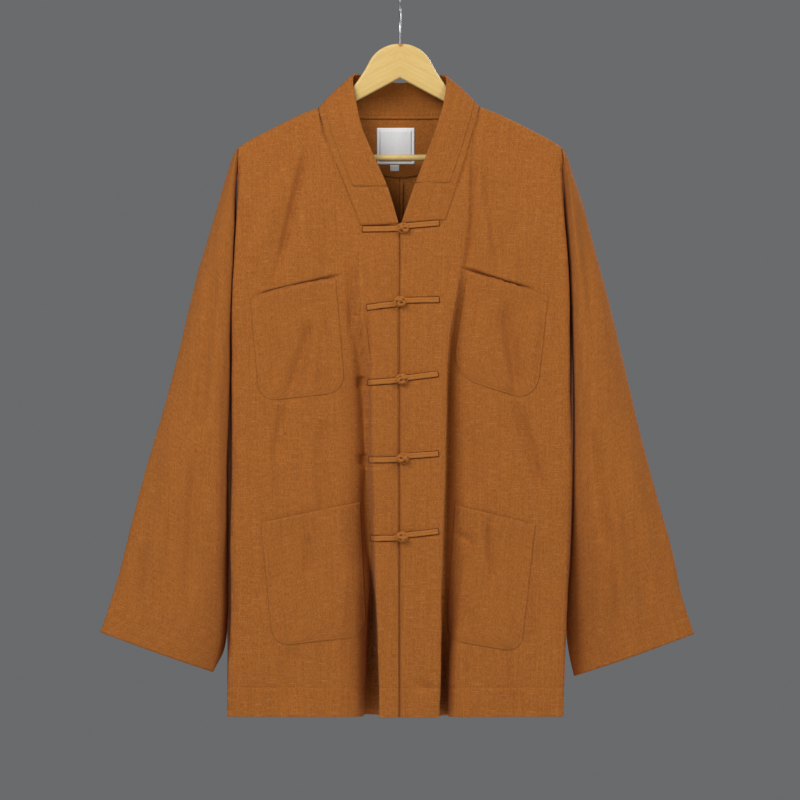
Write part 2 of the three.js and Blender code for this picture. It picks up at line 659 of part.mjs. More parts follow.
function rectangle({ left, right, top, bottom }) {
  return [flat(left, bottom), flat(right, bottom), flat(right, top), flat(left, top)];
}
for (const [name, size] of [['label', label], ['size_tag', sizeTag]]) {
  const high = facingLow - layGap;
  addPiece(name, toGeometry(layerOn(wholeBack, backward, high - size.wall, high, rectangle(size))), tape);
}

// Patch pockets.
function pocketOutline({ side, mouthIn, mouthOut, footOut, footIn, corner }) {
  const point = ({ x, drop }) => flat(side * x, drop);
  const cut = (from, to) => point(to).lerp(point(from), corner / point(to).distanceTo(point(from)));
  const shape = new THREE.Shape();
  shape.moveTo(point(mouthIn).x, point(mouthIn).y);
  shape.lineTo(point(mouthOut).x, point(mouthOut).y);
  const round = (before, foot, after) => {
    const start = cut(before, foot);
    const end = cut(after, foot);
    shape.lineTo(start.x, start.y);
    shape.quadraticCurveTo(point(foot).x, point(foot).y, end.x, end.y);
  };
  round(mouthOut, footOut, footIn);
  round(footOut, footIn, mouthIn);
  return shape.getPoints(4);
}
for (const pocket of pockets) {
  const grid = pocket.side > 0 ? frontGrids.left : frontGrids.right;
  addPiece(pocket.name, toGeometry(
    layerOn(grid, forward, layGap, layGap + clothWall, pocketOutline(pocket))), linen);
}

// Frogs. A tab is a folded strip of the same cloth with a round outer end.
function tabOutline(fromX, toX, fromDrop, toDrop) {
  const from = flat(fromX, fromDrop);
  const to = flat(toX, toDrop);
  const along = to.clone().sub(from).normalize();
  const across = new THREE.Vector2(-along.y, along.x).multiplyScalar(tabWidth / 2);
  const corner = (end, alongShift, acrossShare) => end.clone()
    .addScaledVector(along, alongShift).addScaledVector(across, acrossShare);
  return [corner(from, 0, -1), corner(to, -tabWidth / 4, -1), corner(to, 0, -0.5), corner(to, 0, 0.5),
    corner(to, -tabWidth / 4, 1), corner(from, 0, 1)];
}
function frontEdgeOut(drop) {
  const outs = [0, 1].map((column) => straightAt(frontGrids.left.map((row) => ({
    drop: neckHeight - row[column].z, out: -row[column].y,
  })), 'out', drop));
  return Math.max(...outs);
}
frogs.forEach((frog, i) => {
  const clothOut = frontEdgeOut(frog.drop);
  const knotTab = layerOn(frontGrids.left, forward, layGap, layGap + tabThick,
    tabOutline(frog.x + 2, frog.knotEndX, frog.knotFrom, frog.knotEndDrop));
  const knot = new THREE.IcosahedronGeometry(knotRadius, 1);
  knot.translate(frog.x, -(clothOut + 2 * layGap + knotRadius), neckHeight - frog.drop);
  addPiece(`frog_${i + 1}_knot`, toGeometry(knotTab.add(toSolid(knot))), linen);

  const loopTab = layerOn(frontGrids.right, forward, layGap, layGap + tabThick + 2 * loopCord,
    tabOutline(frog.x - loopRadius + 1, -frog.loopEndX, frog.loopFrom, frog.loopEndDrop));
  const loop = new THREE.TorusGeometry(loopRadius, loopCord, 4, 12);
  loop.rotateX(Math.PI / 2);
  loop.translate(frog.x, -(clothOut + layGap + tabThick + 1 + loopCord), neckHeight - frog.drop);
  addPiece(`frog_${i + 1}_loop`, toGeometry(loopTab.add(toSolid(loop))), linen);
});

// Hanger: a flat board with a bell top and two arms, round bar, wire hook.
const armTop = shoulderLine.filter((row) => row.x > 110 && row.x < 210)
  .map((row) => [row.x, neckHeight - row.drop - woodBelowCloth]);
const halfOutline = [...bell, ...armTop, ...armEnd];
const woodShape = new THREE.Shape([
  ...halfOutline.map(([x, z]) => new THREE.Vector2(x, z)),
  new THREE.Vector2(0, apexHeight),
  ...halfOutline.slice(1).reverse().map(([x, z]) => new THREE.Vector2(-x, z)),
]);
const board = new THREE.ExtrudeGeometry(woodShape, {
  depth: woodThick - 2 * woodBevel, bevelEnabled: true, bevelThickness: woodBevel, bevelSize: woodBevel,
  bevelOffset: -woodBevel, bevelSegments: 2,
});
board.rotateX(Math.PI / 2);
board.translate(0, woodThick / 2 - woodBevel, 0);
const rod = (radius, reach) => {
  const geometry = new THREE.CylinderGeometry(radius, radius, 2 * reach, roundSides);
  geometry.rotateZ(Math.PI / 2);
  geometry.translate(0, 0, neckHeight - barDrop);
  return geometry;
};
const hookFoot = bell[0][1] - hookDepth;
const holeLength = hookDepth + 10;
const hookHole = new THREE.CylinderGeometry(wireRadius + layGap, wireRadius + layGap, holeLength, roundSides);
hookHole.rotateX(Math.PI / 2);
hookHole.translate(0, 0, hookFoot - layGap + holeLength / 2);
const wood = toSolid(board)
  .subtract(toSolid(rod(barRadius + layGap, barReach + layGap)))
  .subtract(toSolid(hookHole));
addPiece('hanger_wood', toGeometry(wood), paleWood);
addPiece('hanger_bar', rod(barRadius, barReach), paleWood);

// The hook stands edge-on to the front: shaft, a bend to the back, then round over the rail.
const wireRound = hookRadius + wireRadius;
const bend = THREE.MathUtils.degToRad(hookBend);
const tip = THREE.MathUtils.degToRad(hookTip);
const bendRadius = wireRound * Math.cos(bend) / (1 - Math.cos(bend));
const bendHeight = -hookRadius - (wireRound + bendRadius) * Math.sin(bend);
const onSide = (y, z) => new THREE.Vector3(0, y, z);
const hookPoints = [onSide(0, hookFoot), onSide(0, mix(hookFoot, bendHeight, 0.5))];
for (let i = 0; i <= bendSteps; i++) {
  const turn = bend * i / bendSteps;
  hookPoints.push(onSide(bendRadius * (1 - Math.cos(turn)), bendHeight + bendRadius * Math.sin(turn)));
}
for (let i = 1; i <= crownSteps; i++) {
  const turn = mix(-bend, tip, i / crownSteps);
  hookPoints.push(onSide(wireRound * Math.cos(turn), -hookRadius + wireRound * Math.sin(turn)));
}
const wire = new THREE.Shape();
wire.absarc(0, 0, wireRadius, 0, 2 * Math.PI, false);
const hookPath = new THREE.CatmullRomCurve3(hookPoints);
addPiece('hanger_hook', new THREE.ExtrudeGeometry(wire, {
  steps: wireSteps, curveSegments: 4, bevelEnabled: false, extrudePath: hookPath,
}), steel);

export default part;
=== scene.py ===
import math
from types import SimpleNamespace
import bmesh
import bpy
import numpy as np
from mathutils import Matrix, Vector, noise
from mathutils.bvhtree import BVHTree


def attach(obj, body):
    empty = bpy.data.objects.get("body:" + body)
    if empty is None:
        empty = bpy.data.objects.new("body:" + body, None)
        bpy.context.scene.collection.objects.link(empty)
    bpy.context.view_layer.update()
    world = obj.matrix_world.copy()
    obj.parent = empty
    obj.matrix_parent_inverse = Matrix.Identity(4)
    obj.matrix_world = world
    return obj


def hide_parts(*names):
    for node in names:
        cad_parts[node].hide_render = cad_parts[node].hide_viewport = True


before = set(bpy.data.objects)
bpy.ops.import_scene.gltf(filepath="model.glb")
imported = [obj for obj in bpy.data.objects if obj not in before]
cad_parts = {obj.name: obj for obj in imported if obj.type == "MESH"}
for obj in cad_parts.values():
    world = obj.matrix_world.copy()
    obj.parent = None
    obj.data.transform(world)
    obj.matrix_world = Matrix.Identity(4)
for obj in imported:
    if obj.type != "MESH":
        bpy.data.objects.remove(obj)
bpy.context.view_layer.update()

# Sizes are in millimetres: x from the centre front (the wearer's left is plus), out in front of the
# hanger, drop below the neck point. They become metres when a mesh is made.
mm = 0.001
garment = dict(lip=2, neckHeight=-158, hemDrop=798, cloth=1.1, layGap=0.3)
forward, backward = (0, 1, 0), (0, -1, 0)
sideNames = {1: "left", -1: "right"}


def table(columns, rows):
    values = np.array(rows, float)
    return {name: values[:, i] for i, name in enumerate(columns.split())}


def bothSides(columns, left, right):
    return {1: table(columns, left), -1: table(columns, right)}


def mix(a, b, t):
    return a + (b - a) * t


def ramp(value, low, high):
    t = np.clip((value - low) / (high - low), 0, 1)
    return t * t * (3 - 2 * t)


# A smooth curve down a table's rows.
def smoothAt(rows, key, place):
    at, value = rows["drop"], rows[key]
    slope = np.empty(len(at))
    slope[1:-1] = (value[2:] - value[:-2]) / (at[2:] - at[:-2])
    slope[0] = (value[1] - value[0]) / (at[1] - at[0])
    slope[-1] = (value[-1] - value[-2]) / (at[-1] - at[-2])
    place = np.clip(place, at[0], at[-1])
    i = np.clip(np.searchsorted(at, place) - 1, 0, len(at) - 2)
    span = at[i + 1] - at[i]
    rise = value[i + 1] - value[i]
    t = (place - at[i]) / span
    start, end = slope[i] * span, slope[i + 1] * span
    return value[i] + t * (start + t * (3 * rise - 2 * start - end + t * (start + end - 2 * rise)))


# A smooth curve through points, or through whole lines of points.
def through(points, steps):
    points = np.asarray(points, float)
    run = np.concatenate([[2 * points[0] - points[1]], points, [2 * points[-1] - points[-2]]])
    made = []
    for i in range(len(points) - 1):
        a, b, c, d = run[i:i + 4]
        ab, bc, cd = (np.maximum(np.linalg.norm(q - p, axis=-1, keepdims=True), 1e-4) ** 0.5
                      for p, q in ((a, b), (b, c), (c, d)))
        leave = ((b - a) / ab - (c - a) / (ab + bc) + (c - b) / bc) * bc
        arrive = ((c - b) / bc - (d - b) / (bc + cd) + (d - c) / cd) * bc
        for t in np.arange(steps[i]) / steps[i]:
            made.append(b + t * (leave + t * (3 * (c - b) - 2 * leave - arrive
                                              + t * (leave + arrive - 2 * (c - b)))))
    made.append(points[-1])
    return np.array(made)


# Distances along the rows (axis 1) or the columns (axis 0) of a grid.
def lengths(grid, axis):
    return np.insert(np.cumsum(np.linalg.norm(np.diff(grid, axis=axis), axis=-1), axis), 0, 0, axis)


def normalsOf(grid, outward):
    normal = np.cross(np.gradient(grid, axis=1), np.gradient(grid, axis=0))
    normal /= np.maximum(np.linalg.norm(normal, axis=-1, keepdims=True), 1e-9)
    middle = normal[grid.shape[0] // 2, grid.shape[1] // 2]
    return normal * (1 if np.dot(middle, outward) >= 0 else -1)


def pushOut(grid, outward, push):
    return grid + normalsOf(grid, outward) * push[..., None]


crease = dict(scale=2.5, samples=15, fadeIn=0.25, fadeOut=0.7, skew=0.5)


# Creases: a soft trough (depth above 0) or ridge (below 0) along a bent line in the front view.
def pressCreases(grid, outward, creases, mask, side):
    x, drop = grid[..., 0] * side, grid[..., 2]
    push = np.zeros(x.shape)
    t = np.linspace(0, 1, crease["samples"])[:, None]
    for *ends, width, depth in creases:
        start, via, end = np.reshape(ends, (3, 2))
        line = (1 - t) ** 2 * start + 2 * t * (1 - t) * via + t * t * end
        best, signed, along = np.full(x.shape, np.inf), np.zeros(x.shape), np.zeros(x.shape)
        for k in range(len(line) - 1):
            a, step = line[k], line[k + 1] - line[k]
            share = np.clip(((x - a[0]) * step[0] + (drop - a[1]) * step[1]) / (step @ step), 0, 1)
            offX, offDrop = x - a[0] - share * step[0], drop - a[1] - share * step[1]
            far = np.hypot(offX, offDrop)
            near = far < best
            best = np.where(near, far, best)
            signed = np.where(near, np.sign(step[0] * offDrop - step[1] * offX) * far, signed)
            along = np.where(near, (k + share) / (len(line) - 1), along)
        fade = ramp(along, 0, crease["fadeIn"]) * (1 - ramp(along, crease["fadeOut"], 1))
        s = signed / width
        push -= crease["scale"] * depth * fade * np.exp(-s * s) * (1 + crease["skew"] * s)
    return pushOut(grid, outward, push * mask)


def noiseAt(x, y, z):
    return noise.noise(Vector((x, y, z)))


# Soft unevenness of a given size and height, longer down the cloth than across it.
def roughen(grid, outward, size, height, seed, mask, stretch=2.0):
    push = [noiseAt(x / size, out / size + seed * 7.1, drop / size / stretch)
            for x, out, drop in grid.reshape(-1, 3)]
    return pushOut(grid, outward, np.reshape(push, grid.shape[:2]) * height * mask)


puckers = dict(size=7, share=0.5, halo=3, reach=4)


# The pull of a stitch line: a narrow groove with small puckers beside it.
def pucker(grid, outward, away, depth, width, seed):
    push = np.zeros(grid.shape[:2])
    for r, c in zip(*np.nonzero(away < puckers["reach"] * width)):
        x, _, drop = grid[r, c]
        groove = math.exp(-(away[r, c] / width) ** 2)
        halo = math.exp(-(away[r, c] / (puckers["halo"] * width)) ** 2)
        wave = noiseAt(x / puckers["size"], drop / puckers["size"], seed)
        push[r, c] = -depth * groove + puckers["share"] * depth * wave * halo
    return pushOut(grid, outward, push)


# Cloth is left alone along its seams, so that neighbours still meet.
def seamMask(grid, first=0, last=0, top=0, bottom=0):
    across, down = lengths(grid, 1), lengths(grid, 0)
    mask = np.ones(grid.shape[:2])
    for value, size in ((across, first), (across[:, -1:] - across, last),
                        (down, top), (down[-1:] - down, bottom)):
        if size:
            mask = mask * ramp(value, 0, size)
    return mask


# Evens neighbouring columns out, where a fold is only beginning.
def soften(grid, amount, passes):
    for _ in range(passes):
        even = grid.copy()
        even[:, 1:-1] = 0.25 * grid[:, :-2] + 0.5 * grid[:, 1:-1] + 0.25 * grid[:, 2:]
        grid = mix(grid, even, amount[..., None])
    return grid


def toMetres(points):
    p = np.asarray(points, float)
    return np.stack([p[..., 0], -p[..., 1], garment["neckHeight"] - p[..., 2]], -1) * mm


# The warp of the fronts and the back hangs straight down.
def hungMap(grid, side):
    return np.stack([grid[..., 0] + side * 0.5 * grid[..., 1], -grid[..., 2]], -1) * mm


# Cloth distances across and down a grid, in metres, for the weave.
def clothMap(grid):
    down = lengths(grid, 0)
    return np.stack([lengths(grid, 1), down[-1] - down], -1) * mm


def addObject(name, data):
    made = bpy.data.objects.new(name, data)
    bpy.context.collection.objects.link(made)
    return made


def ridingPiece(name, mesh, node):
    piece = addObject(name, mesh)
    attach(piece, "root")
    if node:
        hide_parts(node)
    return piece


def newPiece(name, node, points, faces, material, slot, uv=None, closed=False):
    mesh = bpy.data.meshes.new(name)
    mesh.from_pydata([tuple(p) for p in toMetres(points).reshape(-1, 3)], [],
                     [tuple(int(i) for i in face) for face in faces])
    if closed:
        shape = bmesh.new()
        shape.from_mesh(mesh)
        bmesh.ops.recalc_face_normals(shape, faces=shape.faces)
        shape.to_mesh(mesh)
        shape.free()
    mesh.update()
    if uv is not None:
        layer = mesh.uv_layers.new(name="cloth")
        index = [loop.vertex_index for loop in mesh.loops]
        layer.data.foreach_set("uv", np.reshape(uv, (-1, 2))[index].ravel())
    mesh.materials.append(material)
    mesh.polygons.foreach_set("use_smooth", [True] * len(mesh.polygons))
    return ridingPiece(name, mesh, node)


def gridFaces(rows, columns, flip):
    r, c = np.meshgrid(np.arange(rows - 1), np.arange(columns - 1), indexing="ij")
    a = (r * columns + c).ravel()
    quads = np.stack([a, a + 1, a + columns + 1, a + columns], -1)
    return quads[:, ::-1] if flip else quads


# A thin shell whose outer face is the grid and whose wall goes inward.
def clothPiece(name, node, grid, outward, material, slot="linen", wall=garment["cloth"], uv=None, **sheet):
    points = toMetres(grid)
    rows, columns = grid.shape[:2]
    r, c = rows // 2, columns // 2
    facing = np.cross(points[r, c + 1] - points[r, c], points[r + 1, c] - points[r, c])
    flip = np.dot(facing, (outward[0], -outward[1], -outward[2])) < 0
    piece = newPiece(name, node, grid, gridFaces(rows, columns, flip), material, slot,
                     clothMap(grid) if uv is None else uv)
    shell = piece.modifiers.new("shell", "SOLIDIFY")
    shell.thickness = wall * mm
    shell.offset = -1


def surfaceTree(grid):
    return BVHTree.FromPolygons([Vector(p) for p in toMetres(grid).reshape(-1, 3)],
                                [tuple(map(int, q)) for q in gridFaces(*grid.shape[:2], False)])


# Where a straight look from the front (or from behind) meets a surface: point and normal in x, out, drop.
def lookUp(trees, x, drop, behind=False):
    start = Vector((x * mm, 0.5 if behind else -0.5, (garment["neckHeight"] - drop) * mm))
    way = Vector((0, -1 if behind else 1, 0))
    hits = [tree.ray_cast(start, way) for tree in trees]
    hits = [found for found in hits if found[0] is not None]
    if not hits:
        return None
    hit, normal, _, _ = min(hits, key=lambda found: found[3])
    if normal.dot(way) >= 0:
        normal = -normal
    point = np.array([hit.x / mm, -hit.y / mm, garment["neckHeight"] - hit.z / mm])
    return point, np.array([normal.x, -normal.y, -normal.z])


# The same, a little beside the place where cloth is missing just there.
def findOn(trees, x, drop, nudges, behind=False):
    for aside, below in nudges:
        found = lookUp(trees, x + aside, drop + below, behind)
        if found is not None:
            return found
    raise ValueError(f"no cloth at {x:.1f}, {drop:.1f}")


layNudges = ((0, 0), (0.6, 0), (-0.6, 0), (1.5, 0), (-1.5, 0))


# Points of a layer that lies on other cloth, lifted off it. behind is the inside of the back.
def layOn(trees, xs, drops, lift, behind=False):
    lift = np.broadcast_to(-lift if behind else lift, xs.shape)
    grid = np.zeros((*xs.shape, 3))
    for place, x in np.ndenumerate(xs):
        point, normal = findOn(trees, x, drops[place], layNudges, behind)
        grid[place] = point + normal * lift[place]
    return grid


def feed(tree, socket, value):
    if hasattr(value, "links"):
        tree.links.new(value, socket)
    else:
        socket.default_value = value


def newNode(tree, kind, inputs=(), **settings):
    node = tree.nodes.new("ShaderNode" + kind)
    for name, value in settings.items():
        setattr(node, name, value)
    for socket, value in inputs:
        feed(tree, node.inputs[socket], value)
    return node


def nodeGroup(name, inputs, outputs):
    group = bpy.data.node_groups.new(name, "ShaderNodeTree")
    group.interface.new_socket("Vector", in_out="INPUT", socket_type="NodeSocketVector")
    for way, sockets in (("INPUT", inputs), ("OUTPUT", outputs)):
        for socket in sockets:
            group.interface.new_socket(socket, in_out=way, socket_type="NodeSocketFloat")
    return group, group.nodes.new("NodeGroupInput").outputs, group.nodes.new("NodeGroupOutput").inputs


def calc(tree, kind, *values):
    return newNode(tree, "Math", enumerate(values), operation=kind).outputs[0]


def stretched(tree, vector, scale, detail=2.0, rough=0.5):
    mapping = newNode(tree, "Mapping", (("Vector", vector), ("Scale", scale)))
    return newNode(tree, "TexNoise", (("Vector", mapping.outputs[0]), ("Scale", 1), ("Detail", detail),
                                      ("Roughness", rough))).outputs["Fac"]


def remap(tree, value, low, high, toLow=0.0, toHigh=1.0):
    return newNode(tree, "MapRange", enumerate((value, low, high, toLow, toHigh)),
                   interpolation_type="SMOOTHSTEP").outputs[0]


def blendColour(tree, factor, *colours):
    a, b = ((*colour, 1) if isinstance(colour, tuple) else colour for colour in colours)
    return newNode(tree, "Mix", ((0, factor), (6, a), (7, b)), data_type="RGBA").outputs[2]


def objectSpace(tree):
    return newNode(tree, "TexCoord").outputs["Object"]


# Plain weave: thread crowns for the bump, thick yarns and an even mottle for the colour.
weave = dict(distort=0.00022, yarn=(60, 1300, 1), wobble=(260, 260, 1), streaks=(380, 16, 1), slubShare=0.43,
             slubs=((480, 1200, 1), (1000, 200, 1)), streakShare=0.14, mottle=(0.43, 0.57), crown=0.45)


def makeWeaveGroup():
    tree, given, result = nodeGroup("plainWeave", ["Thread"], ["Height", "Yarn", "Mottle"])
    vector = given["Vector"]
    wobble = calc(tree, "MULTIPLY_ADD", stretched(tree, vector, weave["wobble"]), weave["distort"] * 2,
                  -weave["distort"])
    split = newNode(tree, "SeparateXYZ", [(0, vector)])
    crowns = []
    for axis in (0, 1):
        place = calc(tree, "DIVIDE", calc(tree, "ADD", split.outputs[axis], wobble), given["Thread"])
        crowns.append(calc(tree, "ABSOLUTE", calc(tree, "SINE", calc(tree, "MULTIPLY", place, math.pi))))
    along, across, deep = weave["yarn"]
    wefts = remap(tree, stretched(tree, vector, (along, across, deep), 1.0), 0.55, 0.78)
    warps = remap(tree, stretched(tree, vector, (across, along, deep), 1.0), 0.6, 0.82, 0, 0.7)
    thick = calc(tree, "MAXIMUM", wefts, warps)
    slubs = calc(tree, "ADD", *(stretched(tree, vector, scale, 3.0, 0.7) for scale in weave["slubs"]))
    streaks = stretched(tree, vector, weave["streaks"], 2.0, 0.6)
    feed(tree, result["Height"], calc(tree, "MULTIPLY_ADD", thick, 0.5, calc(tree, "MULTIPLY", *crowns)))
    feed(tree, result["Yarn"], thick)
    feed(tree, result["Mottle"], calc(tree, "ADD", calc(tree, "MULTIPLY", slubs, weave["slubShare"]),
                                      calc(tree, "MULTIPLY", streaks, weave["streakShare"])))
    return tree


# Long grain for wood, wavy along X.
def makeGrainGroup():
    tree, given, result = nodeGroup("longGrain", [], ["Rings", "Pores"])
    rings = stretched(tree, given["Vector"], (9, 70, 190), 3.0, 0.55)
    pores = stretched(tree, given["Vector"], (70, 900, 1400), 2.0, 0.6)
    feed(tree, result["Rings"], remap(tree, rings, 0.3, 0.7))
    feed(tree, result["Pores"], remap(tree, pores, 0.5, 0.75))
    return tree


weaveGroup, grainGroup = makeWeaveGroup(), makeGrainGroup()


def newMaterial(name, settings):
    material = bpy.data.materials.new(name)
    material.use_nodes = True
    shader = material.node_tree.nodes["Principled BSDF"]
    for socket, value in settings.items():
        shader.inputs[socket].default_value = value
    return material, material.node_tree, shader.inputs


# Colour, roughness and bump into the shader.
def dress(tree, shader, colour, height, distance, strength, rough=None):
    feed(tree, shader["Base Color"], colour)
    if rough is not None:
        feed(tree, shader["Roughness"], rough)
    bump = newNode(tree, "Bump", (("Distance", distance), ("Strength", strength), ("Height", height)))
    feed(tree, shader["Normal"], bump.outputs[0])


def wovenMaterial(name, dark, light, pale, size, yarnShare, bump, rough, sheen):
    material, tree, shader = newMaterial(name, {
        "Sheen Weight": sheen, "Sheen Roughness": 0.5, "Specular IOR Level": 0.25})
    place = newNode(tree, "UVMap", uv_map="cloth").outputs[0]
    cloth = newNode(tree, "Group", (("Vector", place), ("Thread", size)), node_tree=weaveGroup).outputs
    ground = blendColour(tree, remap(tree, cloth["Mottle"], *weave["mottle"]), dark, light)
    coloured = blendColour(tree, calc(tree, "MULTIPLY", cloth["Yarn"], yarnShare), ground, pale)
    dress(tree, shader, coloured, cloth["Height"], size * weave["crown"], bump,
          remap(tree, cloth["Yarn"], 0, 1, rough, rough - 0.1))
    return material


linen = wovenMaterial("linen", (0.295, 0.090, 0.0125), (0.445, 0.144, 0.0215), (0.66, 0.26, 0.066),
                      0.0008, 0.5, 0.6, 0.92, 0.03)
cord = wovenMaterial("linenCord", (0.385, 0.130, 0.021), (0.44, 0.154, 0.027), (0.57, 0.22, 0.050),
                     0.0006, 0.4, 0.4, 0.9, 0.03)
tape = wovenMaterial("whiteTape", (0.88, 0.87, 0.86), (0.92, 0.91, 0.90), (0.96, 0.95, 0.94),
                     0.0004, 0.3, 0.3, 0.6, 0.1)
greyTape = wovenMaterial("greyTape", (0.76, 0.77, 0.78), (0.81, 0.82, 0.83), (0.88, 0.88, 0.88),
                         0.0004, 0.3, 0.3, 0.6, 0.1)


def threadMaterial(name, dark, light):
    material, tree, shader = newMaterial(name, {"Roughness": 0.8, "Specular IOR Level": 0.15})
    fibres = stretched(tree, objectSpace(tree), (1500, 1500, 1500))
    dress(tree, shader, blendColour(tree, fibres, dark, light), fibres, 0.0002, 0.5)
    return material


boardGrain = dict(lean=math.radians(28), holeAt=(0.001, 0, -0.0755), rim=(0.0022, 0.0042))


def woodMaterial():
    material, tree, shader = newMaterial("paleWood", {
        "Coat Weight": 0.25, "Coat Roughness": 0.3, "Specular IOR Level": 0.4})
    # The board is two halves joined at the middle, each with its grain along its own arm.
    place = objectSpace(tree)
    x, y, z = newNode(tree, "SeparateXYZ", [(0, place)]).outputs
    outward = calc(tree, "ABSOLUTE", x)
    c, s = math.cos(boardGrain["lean"]), math.sin(boardGrain["lean"])
    along = calc(tree, "MULTIPLY_ADD", outward, c, calc(tree, "MULTIPLY", z, -s))
    beside = calc(tree, "MULTIPLY_ADD", outward, s, calc(tree, "MULTIPLY", z, c))
    turned = newNode(tree, "CombineXYZ", enumerate((along, y, beside))).outputs[0]
    grain = newNode(tree, "Group", [("Vector", turned)], node_tree=grainGroup).outputs
    ground = blendColour(tree, grain["Rings"], (0.76, 0.54, 0.20), (0.70, 0.47, 0.15))
    pored = blendColour(tree, calc(tree, "MULTIPLY", grain["Pores"], 0.35), ground, (0.45, 0.24, 0.07))
    # The bare rim of the hole that the hook is screwed into.
    flat = newNode(tree, "VectorMath", ((0, place), (1, (1, 0, 1))), operation="MULTIPLY").outputs[0]
    rim = newNode(tree, "VectorMath", ((0, flat), (1, boardGrain["holeAt"])), operation="DISTANCE")
    bare = remap(tree, rim.outputs["Value"], *boardGrain["rim"], 0.8, 0)
    dress(tree, shader, blendColour(tree, bare, pored, (0.36, 0.13, 0.035)), grain["Pores"], 0.0002, 0.3,
          remap(tree, grain["Pores"], 0, 1, 0.38, 0.55))
    return material


def steelMaterial():
    material, tree, shader = newMaterial("hookSteel", {"Metallic": 1.0})
    marks = stretched(tree, objectSpace(tree), (900, 900, 120), 3.0)
    dress(tree, shader, blendColour(tree, marks, (0.42, 0.42, 0.43), (0.55, 0.55, 0.56)), marks, 0.0001, 0.2,
          remap(tree, marks, 0.3, 0.7, 0.32, 0.46))
    return material


thread = threadMaterial("sewingThread", (0.46, 0.17, 0.036), (0.60, 0.25, 0.066))
# The frog thread's near-black colour is painted shade: it darkens the line round each tab as the shadow along
# the tab edges.
tabShadeThread = threadMaterial("frogThreadShade", (0.078, 0.0165, 0.0016), (0.12, 0.028, 0.003))
wood, steel = woodMaterial(), steelMaterial()
print("finishes ready")

# Neck band from the wearer's right front end round the back neck to the left front end.
bandRows = table("freeX freeOut freeDrop seamX seamOut seamDrop", [
    [-1.4, 38, 153.6, -52.4, 35.5, 156], [-16.4, 36, 104.8, -72.3, 29, 104.8],
    [-35.4, 32, 61.6, -90.5, 21.5, 60], [-50, 26.5, 26, -101.5, 15, 26],
    [-57.8, 18, -9, -106.6, 9.4, 6.5], [-62, 3, -41.5, -107.6, 0, 0],
    [-55, -11, -44, -104, -9.4, 6.5], [-32, -20, -38.5, -66, -22, 11.5],
    [0, -22.5, -33, 0, -26.5, 12.5], [32, -20, -38, 65, -22, 11.5],
    [54, -11, -43, 101.5, -9.4, 5], [60.9, 3, -40, 104.8, 0, -1.3],
    [58, 18, -9, 103.8, 9.4, 5], [50, 26.5, 20, 98.6, 15, 24],
    [35, 32, 62, 88, 21.5, 62], [20, 36, 100.2, 75.9, 28.5, 100.2],
    [1.4, 38, 153.2, 60.4, 34.5, 148.4]])
# Fronts level by level: centre strip, trough, panel and side turn. 1 is the wearer's left, -1 the right.
frontRows = bothSides("drop strip panel tuck stripOut troughOut panelOut midOut side sideOut", [
    [60, 86, 98, 0, 22, 21, 19, 13, 208.5, 11], [100, 86, 100, 0, 28, 26, 25, 18, 211, 17],
    [155, 85, 99, 0, 36, 31, 31, 25, 215, 22], [205, 82, 92, 0, 41, 33.5, 35, 29, 219, 26],
    [253, 74, 85.5, 0, 46, 31, 38, 32, 221.5, 29], [305, 65.5, 80, 0, 49, 27, 40, 35, 221.5, 31],
    [358, 61.5, 78, 0, 52, 24, 42, 37, 221, 32], [462, 59.5, 76.5, 0, 56, 22, 44, 40, 222, 34],
    [567, 56.5, 76, 0, 58, 20, 46, 42, 219.5, 35], [672, 53.5, 76, 0, 60, 11, 48, 44, 216.5, 35],
    [798, 51, 75, 0, 62, -6, 49, 45, 211.5, 35],
], [
    [60, 74, 92, 0, 22, 21.5, 20, 13, 208.5, 11], [100, 62, 86, 0, 29, 27.5, 25, 18, 210, 17],
    [155, 58, 85, -4, 36, 33, 31, 25, 214, 22], [205, 56, 87, -6, 41, 35.5, 36, 30, 217, 26],
    [253, 54, 82, -5, 45, 36, 39, 33, 218.5, 29], [305, 46, 76, -4, 48, 30, 41, 36, 219, 31],
    [358, 39, 70, -3, 51, 22, 43, 38, 219, 32], [462, 36, 68, -3, 55, 19, 45, 41, 218, 34],
    [567, 33, 70, -2, 57, 8, 47, 43, 218, 35], [620, 31, 70, 0, 58, 0, 48, 44, 218.5, 35],
    [672, 29, 70, 1, 59, -20, 49, 45, 220, 35], [798, 27.5, 68, 1, 61, -32, 50, 46, 225, 35]])
# How the trough lies between strip and panel, as shares of its width and height.
foldShape = bothSides("drop lean under wall wallUp", [
    [60, 0.45, 0.45, 0.12, 0.6], [205, 0.3, 0.6, 0.25, 0.6], [253, 0.16, 0.8, 0.42, 0.5],
    [305, 0.12, 0.85, 0.42, 0.5], [462, 0.12, 0.85, 0.42, 0.5], [567, 0.14, 0.85, 0.42, 0.5],
    [672, 0.35, 0.8, 0.4, 0.62], [798, 0.62, 0.7, 0.46, 0.78],
], [
    [60, 0.28, 0.45, 0.28, 0.6], [305, 0.42, 0.5, 0.42, 0.6], [462, 0.33, 0.55, 0.58, 0.62],
    [567, 0.3, 0.55, 0.64, 0.62], [620, 0.18, 0.5, 0.7, 0.54], [660, 0.24, 0.5, 0.66, 0.58],
    [700, 0.36, 0.62, 0.52, 0.72], [798, 0.46, 0.82, 0.46, 0.78]])
